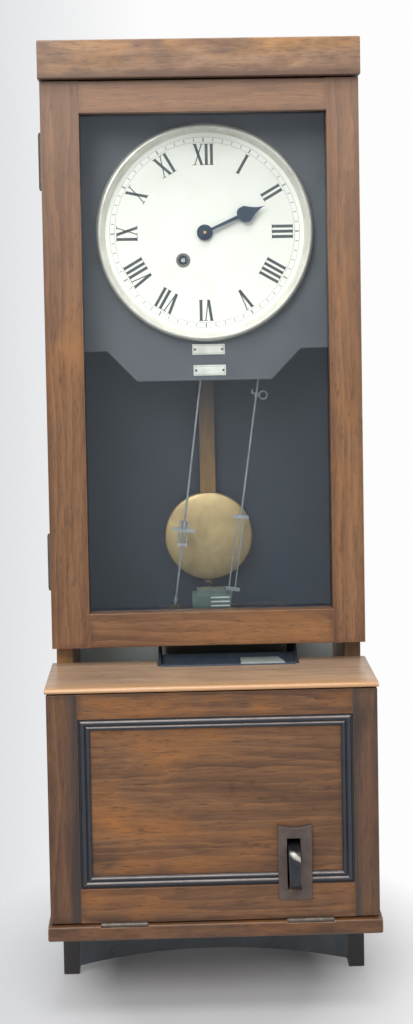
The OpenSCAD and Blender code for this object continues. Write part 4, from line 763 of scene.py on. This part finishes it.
def serifs(letter, middle, span):
    """Thin bars across the ends of the strokes."""
    ends = {
        "I": ((0, 0.0), (0, 1.0)),
        "V": ((-span, 1.0), (span, 1.0)),
        "X": ((-span, 0.0), (span, 0.0), (-span, 1.0), (span, 1.0)),
    }
    bars = []
    for aside, up in ends[letter]:
        left, right = middle + aside - SERIF_HALF, middle + aside + SERIF_HALF
        inner = abs(up - SERIF_SHARE)
        bars.append([(left, up), (right, up), (right, inner), (left, inner)])
    return bars


def radial(points, turn):
    """Turns points (across, radius) clockwise about the dial's centre by turn degrees, into (x, z)."""
    cosine, sine = math.cos(math.radians(turn)), math.sin(math.radians(turn))
    return [(dial_centre.x + x * cosine + r * sine, dial_centre.z + r * cosine - x * sine)
            for x, r in points]


def block(x0, x1, z0, z1):
    """A rectangle as a ring of corners."""
    return [(x0, z0), (x1, z0), (x1, z1), (x0, z1)]


def numeral_outlines():
    """The strokes and serifs of the hours, which stand with their feet to the dial's centre."""
    found = []
    for hour, word in enumerate(NUMERALS):
        left = -sum(LETTER_WIDTH[letter] for letter in word) / 2
        for letter in word:
            width = LETTER_WIDTH[letter]
            span = width / 2 - THICK / 2 - LETTER_GAP
            middle = left + width / 2
            for quad in strokes(letter, middle, span) + serifs(letter, middle, span):
                points = [(x, NUMERAL_LOW + up * (NUMERAL_HIGH - NUMERAL_LOW)) for x, up in quad]
                found.append(radial(points, hour * 30))
            left += width
    return found


def minute_outlines():
    """A mark at each minute, longer and wider at every fifth."""
    found = []
    for minute in range(60):
        half, low, high = FIVE_MINUTE_MARK if minute % 5 == 0 else MINUTE_MARK
        found.append(radial(block(-half, half, low, high), minute * 6))
    return found


def ring_outlines(radius):
    """A thin ring round the dial's centre, as a chain of quads."""
    step = 360 / RING_STEPS
    inner, outer = (0, radius), (0, radius + RING_WIDTH)
    return [radial([inner, outer], i * step) + radial([outer, inner], (i + 1) * step)
            for i in range(RING_STEPS)]


def border_outlines():
    """A thin line round each blank nameplate, as four strips."""
    found = []
    for low, high in solids("nameplates"):
        x0, x1 = low.x + BORDER_INSET, high.x - BORDER_INSET
        z0, z1 = low.z + BORDER_INSET, high.z - BORDER_INSET
        found += [block(x0, x1, z1 - BORDER_LINE, z1), block(x0, x1, z0, z0 + BORDER_LINE),
                  block(x0, x0 + BORDER_LINE, z0 + BORDER_LINE, z1 - BORDER_LINE),
                  block(x1 - BORDER_LINE, x1, z0 + BORDER_LINE, z1 - BORDER_LINE)]
    return found


def rib_outlines():
    """Light strips across the right half of the block on the recorder's deck."""
    feet = [RIB_FOOT + i * RIB_PITCH for i in range(RIB_COUNT)]
    return [block(*RIB_X, foot, foot + RIB_HEIGHT) for foot in feet]


def raised(name, outlines, material, rise, front=dial_front):
    """A thin printed layer on a plane that faces the room: each outline is a ring of points (x, z)."""
    work = bmesh.new()
    for outline in outlines:
        back = [work.verts.new(Vector((x, front + SINK, z)) * MM) for x, z in outline]
        top = [work.verts.new(Vector((x, front - rise, z)) * MM) for x, z in outline]
        work.faces.new(top)
        work.faces.new(back[::-1])
        for i in range(len(outline)):
            j = (i + 1) % len(outline)
            work.faces.new((back[i], back[j], top[j], top[i]))
    bmesh.ops.recalc_face_normals(work, faces=work.faces)
    mesh = bpy.data.meshes.new(name)
    work.to_mesh(mesh)
    work.free()
    piece = bpy.data.objects.new(name, mesh)
    scene.collection.objects.link(piece)
    dress(piece, material)
    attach(piece, "root")


faint_ink = painted("dial_faint_ink", (120, 124, 122), (150, 152, 148), rough=0.45)
engraving = painted("engraving", (96, 100, 100), (126, 128, 126), rough=0.5)
rib_metal = metal("rib_metal", (196, 206, 198), (150, 160, 152), rough=0.4, shine=0.3)
raised("dial_numerals", numeral_outlines(), ink, rise=0.12)
raised("minute_marks", minute_outlines(), faint_ink, rise=0.08)
raised("nameplate_borders", border_outlines(), engraving, rise=0.06, front=nameplate_front)
raised("block_ribs", rib_outlines(), rib_metal, rise=0.5, front=RIB_FRONT)
raised("minute_rings", [quad for radius in RINGS for quad in ring_outlines(radius)], faint_ink, rise=0.05)


# Camera, light and background

# Place in metres, turns in radians, lens and sensor in mm, and the picture's shift
CAMERA_AT = Vector((-0.0339, -1.8225, 0.2248))
YAW = 0.022
PITCH = 0.050
ROLL = 0.018
LENS = 52.73
SENSOR = 36
SHIFT_UP = -0.141

# Name, place, place it faces, diameter and power in watts
LAMPS = (
    ("key", (-0.95, -2.55, 1.7), (0, -0.2, 0.1), 1.6, 55),
    ("over", (0.0, -1.1, 2.1), (0, -0.2, -0.2), 1.0, 21),
    ("fill", (1.9, -1.6, 0.3), (0, -0.1, 0), 1.5, 8),
)
ROOM_COLOUR = (0.93, 0.96, 1.0, 1.0)
ROOM_STRENGTH = 0.45
# The wall seen behind is painted grey towards the left: a painted shadow on the wall
WALL_SHADOW_LEFT = (214, 216, 219)
WALL_RIGHT = (253, 253, 253)
WALL_FADE = (-0.15, -0.01)
MIRRORED = 0.35

FLOOR_RADIUS = 1.5
FLOOR_CENTRE_Y = -0.15
FLOOR_GAP = 0.3 * MM
FLOOR_STRETCH = (1.25, 1, 1)
FLOOR_FADE = (0.14, 0.4)


def make_camera():
    """A camera a little over the middle of the clock that looks slightly down and leans a little."""
    forward = Vector((math.cos(PITCH) * math.sin(YAW), math.cos(PITCH) * math.cos(YAW), -math.sin(PITCH)))
    level = Vector((math.cos(YAW), -math.sin(YAW), 0))
    above = level.cross(forward)
    right = math.cos(ROLL) * level - math.sin(ROLL) * above
    up = math.sin(ROLL) * level + math.cos(ROLL) * above
    camera = bpy.data.objects.new("camera", bpy.data.cameras.new("camera"))
    camera.matrix_world = Matrix.Translation(CAMERA_AT) @ Matrix((right, up, -forward)).transposed().to_4x4()
    camera.data.lens = LENS
    camera.data.sensor_width = SENSOR
    camera.data.shift_y = SHIFT_UP
    scene.collection.objects.link(camera)
    scene.camera = camera


def make_lamp(name, at, target, size, power):
    """A round area lamp that faces target."""
    lamp = bpy.data.objects.new(name, bpy.data.lights.new(name, "AREA"))
    lamp.data.shape = "DISK"
    lamp.data.size = size
    lamp.data.energy = power
    lamp.location = at
    lamp.rotation_euler = (Vector(target) - Vector(at)).to_track_quat("-Z", "Y").to_euler()
    scene.collection.objects.link(lamp)


def make_world():
    """Soft even light; for the eye a pale wall with a painted shadow that greys it towards the left, which
    mirrors show dimmed.
    """
    world = bpy.data.worlds.new("room")
    world.use_nodes = True
    tree = NodeTree(world.node_tree)
    output = tree.node("ShaderNodeOutputWorld")
    lit = preset(tree.node("ShaderNodeBackground"), Color=ROOM_COLOUR, Strength=ROOM_STRENGTH)
    seen = tree.node("ShaderNodeBackground")
    across = tree.split(tree.node("ShaderNodeTexCoord").outputs["Generated"])["X"]
    wall = tree.mix(tree.ramp(across, *WALL_FADE), srgb(WALL_SHADOW_LEFT), srgb(WALL_RIGHT))
    tree.link(wall, seen.inputs["Color"])
    ray = tree.node("ShaderNodeLightPath").outputs
    mirrored = tree.math("MULTIPLY", ray["Is Glossy Ray"], MIRRORED)
    share = tree.math("MAXIMUM", ray["Is Camera Ray"], mirrored)
    share = tree.math("MAXIMUM", share, ray["Is Transmission Ray"])
    tree.mix_shaders(share, lit.outputs["Background"], seen.outputs["Background"], output)
    scene.world = world


def make_floor():
    """A pale round floor under the feet that fades out, so that it meets the pale room without an edge."""
    work = bmesh.new()
    bmesh.ops.create_circle(work, cap_ends=True, segments=128, radius=FLOOR_RADIUS)
    mesh = bpy.data.meshes.new("floor")
    work.to_mesh(mesh)
    work.free()
    floor = bpy.data.objects.new("floor", mesh)
    floor.location = (0, FLOOR_CENTRE_Y, cad_low.z - FLOOR_GAP)
    scene.collection.objects.link(floor)
    tree = Finish("floor_paint")
    cloud = tree.noise(tree.place(), 14.0, detail=4.0)
    tree.principled(tree.mix(cloud, srgb((210, 210, 211)), srgb((202, 202, 204))), 0.75)
    away = tree.vector_math("LENGTH", tree.stretched(tree.place(), FLOOR_STRETCH))["Value"]
    dress(floor, tree.see_through(tree.ramp(away, *FLOOR_FADE)))


make_camera()
make_world()
make_floor()
for lamp in LAMPS:
    make_lamp(*lamp)
scene.view_settings.view_transform = "Standard"
